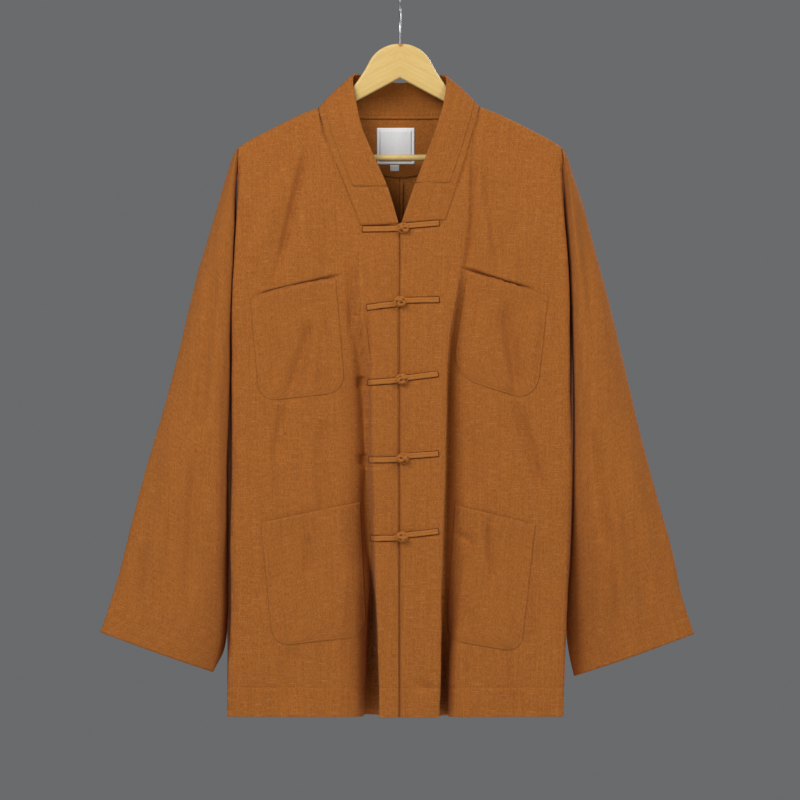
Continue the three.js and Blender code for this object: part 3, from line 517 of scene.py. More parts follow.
# Armhole and side seam. slit is the opening into the sleeve.
seamRows = bothSides("drop x out slit", [
    [53, 212.2, 0, 0.4], [60, 212.4, 0, 16.4], [100, 214, 0, 14.4], [155, 217.5, 0, 11],
    [205, 221, 0, 7.2], [253, 223.5, 0, 3.2], [290, 225, 0, 0.4], [358, 226.5, -3, 0.4],
    [462, 226.5, -6, 0.4], [567, 224, -6, 0.4], [640, 220, -6, 0.4], [690, 216.8, -6, 0.4],
    [798, 212.3, -6, 0.4],
], [
    [53, 212.2, 0, 0.4], [60, 212.4, 0, 16.4], [100, 213.4, 0, 14.4], [155, 216, 0, 11],
    [205, 218.6, 0, 7.2], [253, 221, 0, 3.2], [290, 222.5, 0, 0.4], [358, 224, -3, 0.4],
    [462, 224.5, -6, 0.4], [567, 224.5, -6, 0.4], [640, 224.5, -6, 0.4], [690, 224.8, -6, 0.4],
    [798, 226, -6, 0.4]])
# Backs level by level.
backRows = bothSides("drop spine crest crestBehind trough troughBehind blade side sideBehind", [
    [60, 25, 66, 24, 90, 20, 15, 208.5, 10], [100, 27, 66, 28, 88, 24, 21, 211, 14],
    [155, 30, 64, 32, 86, 27, 27, 215.5, 17], [253, 33, 62, 37, 84, 29, 33, 223, 20],
    [358, 35, 60, 41, 83, 29, 37, 230, 21], [462, 36, 59, 44, 83, 29, 40, 230.5, 22],
    [567, 37, 59, 46, 84, 29, 42, 228, 23], [640, 38, 60, 47, 86, 29, 43, 222.5, 23],
    [690, 38, 60, 48, 87, 29, 43, 217.5, 23], [798, 38, 61, 49, 88, 29, 44, 212.5, 23],
], [
    [60, 25, 50, 25, 84, 21, 15, 208.5, 10], [100, 27, 50, 28, 84, 25, 21, 210.5, 14],
    [155, 30, 49, 32, 82, 28, 27, 214.5, 17], [253, 33, 47, 37, 78, 31, 33, 221, 20],
    [358, 35, 45, 40, 75, 32, 37, 227.5, 21], [462, 36, 43, 42, 72, 32, 40, 229, 22],
    [567, 37, 42, 44, 70, 31, 42, 230, 23], [640, 38, 42, 45, 69, 30, 43, 229.5, 23],
    [690, 38, 42, 46, 68, 30, 43, 226, 23], [798, 38, 42, 47, 68, 30, 44, 226.3, 23]])
# Sleeves ring by ring, from the top of the armhole to the cuff.
sleeveRings = bothSides("innerDrop outerDrop seam seamOut slit inner innerBack outer front back", [
    [61, 53, 212.9, 0, 16.4, 213, 213, 213.4, 7.8, -7.8], [76, 63, 213.7, 0, 15.6, 215, 215, 219, 12, -11],
    [110, 88, 215.4, 0, 13.8, 218, 218, 227.5, 18, -16], [155, 122, 217.7, 0, 11, 220.7, 222, 239, 25, -20],
    [215, 194, 221.7, 0, 6.5, 225, 227, 258, 31, -23], [290, 263, 225.3, 0, 0.5, 228.5, 231, 275, 36, -23],
    [358, 330, 227.5, 0, 0.5, 230, 234, 291, 40, -19], [457, 410, 227.5, 2, 0.5, 230, 235, 310.5, 44, -13],
    [558, 515, 225, 4, 0.5, 227, 234, 337.5, 47, -7], [608, 575, 222.7, 0, 0.5, 225, 232, 355, 48, -6],
    [681, 638, 218, -8, 0.5, 219.5, 223, 370, 48, -8], [717, 665, 222, -6, 0.5, 223.5, 225, 378.5, 46, -6],
    [746, 690, 228.5, -3, 0.5, 229.5, 230, 386, 44, -4],
], [
    [61, 53, 212.9, 0, 16.4, 213, 213, 213.4, 7.8, -7.8], [76, 63, 213.5, 0, 15.6, 215, 215, 219, 12, -11],
    [110, 88, 214.7, 0, 13.8, 217, 217, 228, 18, -16], [155, 128, 216.2, 0, 11, 218.3, 220, 240, 25, -20],
    [215, 189, 219.4, 0, 6.5, 221, 224, 257, 31, -23], [290, 258, 222.8, 0, 0.5, 224, 229, 275, 36, -23],
    [350, 320, 224.8, 0, 0.5, 225.5, 231.5, 291.5, 40, -19],
    [450, 412, 225.5, 2, 0.5, 227, 233.5, 314.5, 44, -13],
    [540, 497, 225.5, 3, 0.5, 229.5, 234.5, 339.5, 47, -7],
    [610, 563, 225.5, 0, 0.5, 231, 235, 356.5, 48, -6],
    [672, 621, 226.2, -4, 0.5, 231, 235, 372, 48, -6], [712, 660, 232, -4, 0.5, 235, 237, 383.5, 46, -3],
    [740, 688, 245, 20, 0.5, 246, 247, 392.5, 44, 5]])
# How far forward and back a sleeve's inner edge stands, and where each face is level again.
sleeveTurn = bothSides("drop front back low", [
    [300, 0.62, 0.62, 0.3], [420, 0.62, 0.62, 0.3], [457, 0.45, 0.7, 0.3], [558, -0.1, 0.85, 0.31],
    [608, -0.48, 1, 0.34], [681, -0.95, 1.14, 0.43], [746, -0.85, 1.08, 0.4],
], [
    [155, 0.88, 0.62, 0.3], [300, 0.75, 0.62, 0.3], [450, 0.55, 0.7, 0.3], [540, 0.3, 0.85, 0.3],
    [610, 0.1, 0.9, 0.28], [740, -0.1, 0.9, 0.28]])
shoulder = table("x drop", [
    [104, -1], [120, 5], [131, 9.3], [160, 23.5], [195, 41.5], [207, 49], [213, 53.5]])
# The turn over the hanger: outward and down.
turnOver = [(0.2, 0), (2.2, 0.15), (4.2, 0.6), (5.8, 1.2), (7, 2.2), (7.8, 3.6), (8.3, 5.5)]
# Where the lines of each panel start along the top edge.
frontTops = bothSides(
    "centre stripMid crest lip under bottom wall panel bandPoint neck mid outer side deep seam", [
    [0.5, 60.6, 85, 87, 89, 91.5, 94.5, 98, 103.4, 105.2, 140, 180, 207, 210, 212.2]], [
    [0.5, 26, 51.4, 55, 60, 68, 77, 86, 106.2, 108, 140, 180, 207, 210, 212.2]])
backTops = bothSides("spine crest trough bandPoint neck blade side seam", [
    [0, 50, 80, 103.4, 105.2, 140, 207, 212.2]], [
    [0, 50, 80, 106.2, 108, 140, 207, 212.2]])
stripMiddle = {1: 0.68, -1: 0.5}
band = dict(inset=0.8, bulge=1.5, wall=1.8, gap=0.3, guardWall=0.4, allowance=((0.3, 1.3), (3.2, 1.5)))
hem = dict(stitch=38, edge=5, levels=100, upperLevels=44, upperEnd=178, topBlend=18, topEase=(4, 70))


def rowsOf(rows):
    return SimpleNamespace(**rows)


def rowsAt(rows, drops):
    return rowsOf({key: smoothAt(rows, key, drops) for key in rows})


def bandSurface(shares, steps):
    free, seam = (np.stack([bandRows[edge + axis] for axis in ("X", "Out", "Drop")], -1)
                  for edge in ("free", "seam"))
    width = np.linalg.norm(seam - free, axis=1, keepdims=True)
    away = np.stack([seam[:, 0], 2 * seam[:, 1], np.zeros(len(seam))], -1)
    away /= np.linalg.norm(away, axis=1, keepdims=True)
    lines = []
    for share in shares:
        bulge = away * band["bulge"] * math.sin(math.pi * share)
        line = mix(free, seam, share * (1 - band["inset"] / width)) + bulge
        lines.append(through(line, [steps] * (len(line) - 1)))
    return np.array(lines)


bandSeam = bandSurface([1], 6)[0]


# The band's seam from the centre out to the shoulder, in front or behind.
def neckLine(side, facing):
    half = bandSeam[bandSeam[:, 0] * side >= 0]
    peak = half[np.argmax(np.abs(half[:, 0]))]
    line = half[((half[:, 1] - peak[1]) * facing > 0) | (np.abs(half[:, 0]) == abs(peak[0]))]
    line = line[np.argsort(np.abs(line[:, 0]))]
    return dict(x=np.abs(line[:, 0]), out=line[:, 1], drop=line[:, 2])


neckLines = {(side, facing): neckLine(side, facing) for side in sideNames for facing in (1, -1)}


# Drop and out of the top edge: a front's end, then the neck seam, then the shoulder.
def topEdge(side, facing, x):
    line, gap = neckLines[side, facing], band["gap"]
    if facing > 0 and x < line["x"][0]:
        end = 0 if side < 0 else -1
        t = x / line["x"][0]
        return (mix(bandRows["freeDrop"][end], line["drop"][0], t) + gap,
                mix(bandRows["freeOut"][end], line["out"][0], t))
    if x <= line["x"][-1] + gap:
        return (np.interp(x - gap, line["x"], line["drop"]) + gap, np.interp(x - gap, line["x"], line["out"]))
    return np.interp(x, shoulder["x"], shoulder["drop"]), 0.0


def frontPlaces(side):
    row = rowsOf(frontRows[side])
    seam, fold = rowsAt(seamRows[side], row.drop), rowsAt(foldShape[side], row.drop)
    gap, wide = row.panel - row.strip, row.side - row.panel
    seamOut = seam.out + seam.slit / 2
    return dict(
        centre=(0.5 + 0 * gap, row.stripOut - 1),
        stripMid=(row.strip * stripMiddle[side], row.stripOut + 1),
        crest=(row.strip - garment["lip"], row.stripOut),
        lip=(row.strip, row.stripOut - garment["lip"]),
        under=(row.strip - row.tuck + 0.5, mix(row.stripOut, row.troughOut, fold.under)),
        bottom=(row.strip + fold.lean * gap, row.troughOut),
        wall=(row.panel - fold.wall * gap, mix(row.troughOut, row.panelOut, fold.wallUp)),
        panel=(row.panel + 0.03 * wide, row.panelOut),
        bandPoint=(row.panel + 0.18 * wide, mix(row.panelOut, row.midOut, 0.3)),
        neck=(row.panel + 0.26 * wide, mix(row.panelOut, row.midOut, 0.45)),
        mid=(row.panel + 0.5 * wide, row.midOut),
        outer=(row.panel + 0.8 * wide, mix(row.midOut, row.sideOut, 0.5) + 1),
        side=(row.side, row.sideOut),
        deep=(mix(row.side, seam.x, 0.5), mix(row.sideOut, seamOut, 0.6)),
        seam=(seam.x, seamOut))


def backPlaces(side):
    row = rowsOf(backRows[side])
    seam = rowsAt(seamRows[side], row.drop)
    return dict(
        spine=(0 * seam.x, -row.spine),
        crest=(row.crest, -row.crestBehind),
        trough=(row.trough, -row.troughBehind),
        bandPoint=(mix(row.trough, row.side, 0.14), -mix(row.troughBehind, row.blade, 0.25)),
        neck=(mix(row.trough, row.side, 0.22), -mix(row.troughBehind, row.blade, 0.45)),
        blade=(mix(row.trough, row.side, 0.5), -row.blade),
        side=(row.side, -row.sideBehind),
        seam=(seam.x, seam.out - seam.slit / 2))


# Frogs: the knot's place, then where each tab starts (drop) and ends (x, drop).
frogColumns = "drop x loopFrom loopEndX loopEndDrop knotFrom knotEndX knotEndDrop".split()
frogs = [SimpleNamespace(**dict(zip(frogColumns, row))) for row in (
    (159, 4.5, 160.3, 49, 160.5, 156.5, 51, 152.6),
    (255, 1, 259.5, 43, 263, 254, 51, 253),
    (356.5, 3.3, 359, 42, 361.5, 355.5, 49.5, 350),
    (460, 4.6, 462.2, 40.6, 462.4, 457.5, 50, 454),
    (562.6, 3.3, 564.4, 38, 565, 560.7, 50, 555.4))]
frogTab = dict(half=3.5, high=2.6, sink=0.25, rows=40, groove=0.75, grooveWidth=0.75, wander=0.35,
               uneven=0.05, beyond=0.5, skip=0.05, knotStart=1.5, loopStart=6.4, loopShare=0.8)
frogTabs = []
for frog in frogs:
    loopDrop = mix(frog.drop, frog.loopFrom, frogTab["loopShare"])
    frogTabs += [((frog.x + frogTab["knotStart"], frog.knotFrom), (frog.knotEndX, frog.knotEndDrop)),
                 ((frog.x - frogTab["loopStart"], loopDrop), (-frog.loopEndX, frog.loopEndDrop))]


# The sewing pulls the cloth down beside each tab.
def sinkTabs(grid):
    x, drop = grid[..., 0], grid[..., 2]
    pull = np.zeros(x.shape)
    for start, end in frogTabs:
        step = np.subtract(end, start)
        share = ((x - start[0]) * step[0] + (drop - start[1]) * step[1]) / (step @ step)
        share = np.clip(share, frogTab["skip"], 1)
        away = np.hypot(x - start[0] - share * step[0], drop - start[1] - share * step[1])
        away = (away - frogTab["half"] - frogTab["beyond"]) / frogTab["grooveWidth"]
        pull = np.maximum(pull, np.exp(-away ** 2))
    return pushOut(grid, forward, -frogTab["groove"] * pull)


leastStep = 0.7


# Adds the levels that aren't next to one already there.
def withLevels(levels, more):
    return np.concatenate([levels, more[np.abs(more[:, None] - levels).min(1) > leastStep]])


# Rows of a body panel below the turn over the hanger, crowded at the hem, the frogs and the pocket mouths.
mouthLevels = np.arange(207, 250, 1.2)
lowLevels = np.unique(np.concatenate([
    np.linspace(hem["upperEnd"], garment["hemDrop"], hem["levels"]),
    garment["hemDrop"] - hem["stitch"] + np.arange(-2, 3),
    garment["hemDrop"] - np.array([0.8, 2, 5, 7, 9])]))
frogLevels = np.concatenate([np.arange(frog.drop - 7, frog.drop + 11, 1.0) for frog in frogs[1:]])
frontLevels = np.unique(withLevels(withLevels(mouthLevels, frogLevels), lowLevels))


def bodySurface(side, facing, rows, tops, places, levels, steps):
    rowDrops = rows[side]["drop"]
    placed = places(side)
    starts = {name: float(x[0]) for name, x in tops[side].items()}
    lines = []
    for name, topX in starts.items():
        drop, out = topEdge(side, facing, topX)
        turned = [(topX, facing * max(facing * out, over), drop + down) for over, down in turnOver]
        keep = rowDrops > drop + hem["topBlend"]
        stations = {key: np.insert(values[keep], 0, start) for key, values, start in zip(
            ("x", "out", "drop"), (*placed[name], rowDrops), turned[-1])}
        upper = mix(turned[-1][2], hem["upperEnd"], np.linspace(0, 1, hem["upperLevels"] + 1)[1:-1])
        drops = np.concatenate([upper, levels])
        body = np.stack([smoothAt(stations, "x", drops), smoothAt(stations, "out", drops), drops], -1)
        lines.append(np.concatenate([turned, body]))
    grid = through(np.array(lines), steps).transpose(1, 0, 2)
    # The top edge follows the neck seam and the shoulder exactly, and that eases away below.
    xs = list(starts.values())
    topXs = [x for a, b, n in zip(xs, xs[1:], steps) for x in np.linspace(a, b, n, endpoint=False)] + xs[-1:]
    edge = []
    for x in topXs:
        drop, out = topEdge(side, facing, x)
        edge.append((x, facing * max(facing * out, turnOver[0][0]), drop))
    reach = 1 - ramp(grid[:, :, 2] - grid[0, :, 2], *hem["topEase"])
    return (grid + (np.array(edge) - grid[0]) * reach[..., None]) * (side, 1, 1)


# Creases for each panel: from, via and to (x, drop), then width and depth. The last of each front is
# where the cloth behind the open mouth of the upper pocket falls in.
frontCreases = {
    1: [(98, 40, 99, 150, 85, 236, 4, 2.4), (112, 60, 122, 140, 138, 240, 8, 2.4),
        (139, 252, 146, 310, 160, 402, 8, 3.2), (152, 380, 168, 440, 194, 524, 7, 2.9),
        (100, 170, 100, 190, 101, 212, 4, 0.8), (140, 60, 165, 130, 195, 210, 14, -1.3),
        (178, 262, 178, 300, 172, 352, 10, -1.6), (116, 530, 115, 580, 127, 634, 4.5, 2.2),
        (73, 555, 85, 562, 100, 577, 4, 1.2), (190, 560, 180, 640, 185, 760, 13, 1.7),
        (95, 420, 100, 470, 92, 520, 9, 1.4), (30, 180, 36, 330, 26, 480, 12, -0.7),
        (130, 640, 138, 720, 134, 798, 15, -1.9), (88, 640, 92, 720, 88, 790, 9, 1.7),
        (18, 756, 32, 752, 46, 765, 5, 1.3), (186, 647, 200, 656, 215, 662, 3.5, 1),
        (76, 208.5, 118, 223.8, 182, 241, 2, 2.2)],
    -1: [(122, 42, 142, 130, 169, 246, 4.2, 2.4), (95, 160, 96, 195, 98, 224, 4.5, 1.5),
         (105, 60, 112, 130, 118, 215, 9, -0.9), (150, 70, 172, 140, 194, 210, 14, -1.2),
         (116, 278, 128, 320, 155, 402, 8, 2.8), (150, 384, 160, 425, 166, 475, 8, 2.2),
         (98, 268, 103, 330, 104, 402, 8, 2.2), (100, 392, 105, 470, 100, 565, 9, 2.5),
         (67, 200, 65, 250, 66, 305, 5, 1.8), (45, 258, 41, 310, 42, 356, 3.5, 1.9),
         (52, 352, 52, 361, 53, 370, 4, 2), (50, 452, 50, 462, 50, 472, 5, 1.4),
         (48, 470, 48, 540, 36, 612, 4.5, 1.2), (78, 420, 79, 560, 76, 700, 9, -1.4),
         (120, 558, 122, 590, 124, 622, 7, 1.9), (140, 700, 150, 740, 146, 798, 14, 1.9),
         (190, 640, 184, 700, 190, 790, 12, -1.7), (176, 420, 180, 520, 172, 640, 12, -1.7),
         (70, 218, 120, 230.8, 196, 247.5, 2, 2.2)]}
backCreases = {
    1: [(30, 60, 60, 110, 110, 150, 14, 2.4), (150, 90, 150, 200, 180, 300, 16, 2.2),
        (110, 260, 118, 400, 108, 560, 18, -2.2), (150, 420, 160, 560, 150, 700, 18, 2.4),
        (190, 300, 195, 420, 186, 540, 14, -1.8), (24, 300, 30, 480, 22, 660, 12, 2.2),
        (190, 620, 180, 700, 186, 798, 13, 2.2), (130, 660, 124, 720, 132, 798, 16, -2)],
    -1: [(30, 70, 56, 120, 100, 170, 14, 2.6), (140, 80, 146, 180, 172, 280, 16, 2),
         (100, 300, 110, 430, 100, 600, 18, -2.2), (140, 380, 150, 520, 138, 680, 18, 2.6),
         (185, 330, 192, 450, 182, 560, 14, -1.8), (20, 360, 27, 520, 18, 700, 12, 2),
         (180, 640, 174, 710, 182, 798, 14, 2.2), (118, 640, 112, 720, 120, 798, 16, -2)]}
sleeveCreases = {
    (1, 1): [(238, 110, 250, 210, 258, 330, 9, 1.7), (256, 400, 266, 520, 278, 602, 7, 2.8),
             (277, 585, 279, 640, 274, 705, 8, 2.1), (280, 500, 286, 600, 293, 670, 8, -1.8),
             (300, 400, 312, 500, 332, 640, 15, -1.7), (306, 520, 314, 600, 330, 690, 9, 1.5)],
    (-1, 1): [(242, 190, 256, 300, 268, 475, 9, 2.5), (267, 440, 276, 540, 281, 675, 9, 2.9),
              (239, 260, 240, 450, 246, 700, 8, -1.4), (296, 400, 306, 520, 330, 650, 15, -1.8),
              (300, 520, 306, 600, 322, 690, 9, 1.7), (335, 560, 344, 620, 352, 670, 8, 1.3)],
    (1, -1): [(240, 130, 252, 240, 262, 360, 14, 3.1), (262, 360, 282, 480, 300, 620, 17, 3.6),
              (250, 480, 258, 600, 276, 720, 14, -3.1), (300, 480, 318, 590, 344, 680, 15, 2.8)],
    (-1, -1): [(238, 140, 250, 250, 258, 370, 14, 3.1), (258, 350, 276, 470, 292, 610, 17, 3.4),
               (246, 500, 254, 610, 272, 720, 14, -3.1), (302, 470, 320, 580, 350, 680, 15, 2.8)]}
# How far the cloth along each seam is left alone, then waves as (size, height) with a seed.
seamEase = dict(front=dict(first=14, last=22, top=16), back=dict(first=10, last=22, top=16),
                sleeve=dict(first=14, last=14, top=20))
waves = dict(front=((58, 2.3), (19, 0.5), 3), back=((64, 2), (20, 0.5), 23),
             sleeve=((60, 2.4), (20, 0.5), 43))
hemPull = dict(depth=0.45, width=1.3)


def wrinkle(grid, outward, kind, side, mask):
    coarse, fine, seed = waves[kind]
    grid = roughen(grid, outward, *coarse, seed + side, mask)
    return roughen(grid, outward, *fine, seed + 8 + side, mask, 1.4)


def fromStitch(grid):
    return np.abs(garment["hemDrop"] - hem["stitch"] - grid[..., 2])


# Turns the first column in as a folded edge: pairs are x from the centre and how far inside.
def foldEdge(grid, side, way, places, amount=1.0):
    turned = []
    for x, inside in places:
        line = grid[:, 0].copy()
        line[:, 0] = side * x
        line[:, 1] -= way * inside * amount
        turned.append(line)
    return np.concatenate([np.array(turned).transpose(1, 0, 2), grid[:, 1:]], axis=1)


# The wearer's left edge carries on as a narrow underlap behind the right one.
edgeFold = [(0.5, 2.0), (1.4, 0.9), (3.0, 0.15)]
frontFold = {1: [(-4, 3.6), (-1, 3.4), (0.2, 2.8), *edgeFold], -1: edgeFold}
backFold = [(4.2, 3.6), (2.2, 3.8), (0.2, 3), (0, 1), (0.25, 0.2), (1.1, 0)]
backFoldFrom = (92, 104)
# Columns evened out while the folds begin: fading out between two drops, then from and to, and passes.
softFolds = {1: [((205, 236), (8, 16), (32, 42), 70), ((600, 720), (25, 29), (36, 44), 26)],
             -1: [((60, 150), (8, 16), (32, 42), 24), ((560, 640), (20, 24), (36, 44), 5)]}
# Evening out begins this far below the top edge.
softBelow = (4, 30)
frontSteps = [10, 8, 2, 2, 3, 3, 2, 3, 2, 18, 20, 10, 4, 3]
backSteps = [11, 6, 5, 2, 9, 16, 5]
fronts, backs, sleeves = {}, {}, {}
for side in sideNames:
    grid = bodySurface(side, 1, frontRows, frontTops, frontPlaces, frontLevels, frontSteps)
    column = np.arange(grid.shape[1])
    for until, fromColumn, toColumn, passes in softFolds[side]:
        amount = (1 - ramp(grid[..., 2], *until)) * ramp(grid[..., 2] - grid[:1, :, 2], *softBelow)
        grid = soften(grid, amount * ramp(column, *fromColumn) * (1 - ramp(column, *toColumn)), passes)
    mask = seamMask(grid, **seamEase["front"])
    grid = pressCreases(grid, forward, frontCreases[side], mask, side)
    grid = wrinkle(grid, forward, "front", side, mask)
    grid = pucker(grid, forward, fromStitch(grid), seed=2.0 + side, **hemPull)
    fronts[side] = foldEdge(sinkTabs(grid), side, 1, frontFold[side])

    grid = bodySurface(side, -1, backRows, backTops, backPlaces, lowLevels, backSteps)
    mask = seamMask(grid, **seamEase["back"])
    grid = pressCreases(grid, backward, backCreases[side], mask, side)
    grid = wrinkle(grid, backward, "back", side, mask)
    grid = pucker(grid, backward, fromStitch(grid), seed=6.0 + side, **hemPull)
    backs[side] = foldEdge(grid, side, -1, backFold, ramp(grid[:, 0, 2], *backFoldFrom))

sleeveHigh = 0.72
cuff = dict(stitch=24)
# Columns beside the outer line over which a face's creases fade in.
middleEase = (1, 9)
lengthSteps = [6, 6, 8, 9, 11, 11, 13, 13, 9, 10, 8, 12]
roundSteps = [4, 9, 11, 10, 10, 11, 9, 4]


def sleeveSurface(side):
    ring = rowsOf(sleeveRings[side])
    turn = rowsAt(sleeveTurn[side], ring.innerDrop)
    wide, axis = ring.outer - ring.inner, (ring.front + ring.back) / 2
    level, high = ring.inner + wide * turn.low, ring.inner + wide * sleeveHigh

    def spot(x, out):
        return np.stack([x, out, mix(ring.innerDrop, ring.outerDrop, (x - ring.inner) / wide)], -1)

    points = [
        spot(ring.seam, ring.seamOut + ring.slit / 2),
        spot(ring.inner, mix(axis, ring.front, turn.front)),
        spot(level, ring.front),
        spot(high, mix(axis, ring.front, sleeveHigh)),
        spot(ring.outer, axis),
        spot(high, mix(axis, ring.back, sleeveHigh)),
        spot(level, ring.back),
        spot(ring.innerBack, mix(axis, ring.back, turn.back)),
        spot(ring.seam, ring.seamOut - ring.slit / 2)]
    lines = np.array([through(line, lengthSteps) for line in points])
    return through(lines, roundSteps).transpose(1, 0, 2) * (side, 1, 1)


for side in sideNames:
    outward = (side, 0, 0)
    grid = sleeveSurface(side)
    mask = seamMask(grid, **seamEase["sleeve"])
    column, middle = np.arange(grid.shape[1]), grid.shape[1] // 2
    for facing in (1, -1):
        part = ((column < middle) == (facing > 0)) * ramp(np.abs(column - middle), *middleEase)
        grid = pressCreases(grid, outward, sleeveCreases[side, facing], mask * part, side)
    grid = wrinkle(grid, outward, "sleeve", side, mask)
    away = np.linalg.norm(grid - grid[-1], axis=-1)
    sleeves[side] = pucker(grid, outward, np.abs(away - cuff["stitch"]), seed=9.0 + side, **hemPull)

onHanger = dict(held="hung", rests_on=["hanger_wood"])
for side, name in sideNames.items():
    clothPiece(f"frontPanel_{name}", f"front_{name}", fronts[side], forward, linen,
               uv=hungMap(fronts[side], side), flat=(0.32, 0.8), **onHanger)
    clothPiece(f"backPanel_{name}", f"back_{name}", backs[side], backward, linen,
               uv=hungMap(backs[side], -side), flat=(0.29, 0.8), **onHanger)
    clothPiece(f"sleevePanel_{name}", f"sleeve_{name}", sleeves[side], (side, 0, 0), linen,
               flat=(0.36, 0.72), area=0.17, **onHanger)
print("fronts, backs and sleeves hung")

# Neck band with a rolled free edge, and the guard band sewn over it.
bandSteps = 14
bandShares = [0, 0.02, 0.06, 0.14, 0.24, 0.34, 0.44, 0.54, 0.64, 0.72, 0.78, 0.8, 0.82, 0.86, 0.92, 0.96, 1]
guardShares = [0, 0.015, 0.05, 0.12, 0.22, 0.34, 0.46, 0.58, 0.68, 0.75, 0.785, 0.8]
bandWaves = dict(size=42, height=0.9, seed=61, stretch=1.6)
bandPull = dict(depth=0.25, width=1.4, seed=61)
guardPull = dict(depth=0.3, width=0.9, seed=63)
guardEdge = dict(stitch=2, thin=0.45, over=5)
bandGrid = bandSurface(bandShares, bandSteps)
bandGrid = roughen(bandGrid, backward, mask=seamMask(bandGrid, top=12, bottom=8), **bandWaves)
bandGrid = pucker(bandGrid, backward, np.linalg.norm(bandGrid - bandGrid[-1], axis=-1), **bandPull)
bandOut = normalsOf(bandGrid, backward)
beyond = bandGrid[-1] - bandGrid[-2]
beyond /= np.linalg.norm(beyond, axis=-1, keepdims=True)
allowance = [bandGrid[-1] + beyond * far - bandOut[-1] * under for far, under in band["allowance"]]
bandGrid = np.concatenate([bandGrid, allowance])
clothPiece("neckBand", "collar_band", bandGrid, backward, linen, wall=band["wall"],
           uv=clothMap(bandGrid)[..., ::-1], flat=(0.104, 0.62), held="folded", rests_on=["hanger_wood"],
           area=0.0325)

guardGrid = bandSurface(guardShares, bandSteps)[:, bandSteps:-bandSteps]
guardGrid = roughen(guardGrid, backward, mask=seamMask(guardGrid, top=12, first=10, last=10), **bandWaves)
thinner = mix(guardEdge["thin"], 1, seamMask(guardGrid, first=guardEdge["over"], last=guardEdge["over"]))
guardGrid = pushOut(guardGrid, backward, (0.5 * garment["layGap"] + band["guardWall"]) * thinner)
edgeStitch = np.linalg.norm(guardGrid - guardGrid[-1], axis=-1)
guardGrid = pucker(guardGrid, backward, np.abs(edgeStitch - guardEdge["stitch"]), **guardPull)
clothPiece("guardBand", "collar_guard", guardGrid, backward, linen, wall=band["guardWall"],
           uv=clothMap(guardGrid)[..., ::-1], flat=(0.1, 0.56), held="folded", rests_on=["neckBand"],
           area=0.0225)
print("neck band on")

frontTrees = {side: surfaceTree(fronts[side]) for side in sideNames}
backTrees = [surfaceTree(backs[side]) for side in sideNames]
# Patch pockets: mouth and foot corners, size of the round corners, how far the mouth gapes.
pocketSet = {
    "upper_left": dict(side=1, mouthIn=(88, 217), mouthOut=(194, 248), footOut=(178, 388), footIn=(68, 352),
                       corner=34, gape=3.2, hem=27),
    "upper_right": dict(side=-1, mouthIn=(84, 225), mouthOut=(196, 250), footOut=(184, 386), footIn=(72, 374),
                        corner=24, gape=4.2, hem=27),
    "lower_left": dict(side=1, mouthIn=(72, 521), mouthOut=(177, 547), footOut=(158, 714), footIn=(60, 697),
                       corner=22, gape=2.8, hem=38),
    "lower_right": dict(side=-1, mouthIn=(52, 517), mouthOut=(182, 544), footOut=(166, 706), footIn=(44, 692),
                        corner=24, gape=3.4, hem=38)}
pocketMesh = dict(across=44, down=56, edgeStitch=2.2, wall=0.5, lift=0.2, mouthReach=0.13, belly=0.5)
pocketWaves = dict(size=26, height=0.7, stretch=1.3)
pocketPull = dict(edge=dict(depth=0.35, width=1), hem=dict(depth=0.4, width=1.3))
pocketSeed = dict(waves=71, edge=71, hem=81)


# x and drop of the flat patch, for shares across and down, with its length and width.
def pocketShape(pocket, u, v):
    mouthIn, mouthOut, footOut, footIn = (
        np.array(pocket[key], float) for key in ("mouthIn", "mouthOut", "footOut", "footIn"))
    length, width = np.linalg.norm(footIn - mouthIn), np.linalg.norm(footOut - footIn)
    corner = pocket["corner"]
    near = np.clip((corner - (1 - v) * length) / corner, 0, 1)
    inset = corner * (1 - np.sqrt(np.maximum(1 - near * near, 0)))
    share = 0.5 + (u[None, :] - 0.5) * (1 - 2 * inset / width)[:, None]
    v = v[:, None, None]
    flat = mix(mix(mouthIn, footIn, v), mix(mouthOut, footOut, v), share[..., None])
    return flat[..., 0], flat[..., 1], length, width


for number, (name, pocket) in enumerate(pocketSet.items()):
    side = pocket["side"]
    u = np.unique(np.concatenate([np.linspace(0, 1, pocketMesh["across"]), [0.01, 0.99]]))
    v = np.unique(np.concatenate([np.linspace(0, 1, pocketMesh["down"]),
                                  1 - np.array([0.003, 0.01, 0.02, 0.03])]))
    x, drop, length, width = pocketShape(pocket, u, v)
    uu, vv = np.meshgrid(u, v)
    swell = np.sin(np.pi * uu)
    gape = pocket["gape"] * swell ** 0.7 * np.exp(-(vv / pocketMesh["mouthReach"]) ** 1.5)
    gape += pocketMesh["belly"] * swell ** 0.5 * np.sin(np.pi * vv) ** 0.5
    grid = layOn([frontTrees[side]], side * x, drop, pocketMesh["lift"] + pocketMesh["wall"] + gape)
    mask = seamMask(grid, first=6, last=6, bottom=6)
    grid = roughen(grid, forward, seed=pocketSeed["waves"] + number, mask=mask, **pocketWaves)
    away = np.minimum(np.minimum(uu, 1 - uu) * width, np.abs((1 - vv) * length))
    stitched = dict(edge=np.abs(away - pocketMesh["edgeStitch"]), hem=np.abs(vv * length - pocket["hem"]))
    for line, near in stitched.items():
        grid = pucker(grid, forward, near, seed=pocketSeed[line] + number, **pocketPull[line])
    clothPiece(f"pocket_{name}_cloth", f"pocket_{name}", grid, forward, linen, wall=pocketMesh["wall"],
               flat=(width * mm, (length + pocket["hem"]) * mm), held="hung",
               rests_on=[f"frontPanel_{sideNames[side]}"])
    pocket.update(grid=grid, u=u, v=v, width=width, length=length)
print("pockets laid on")

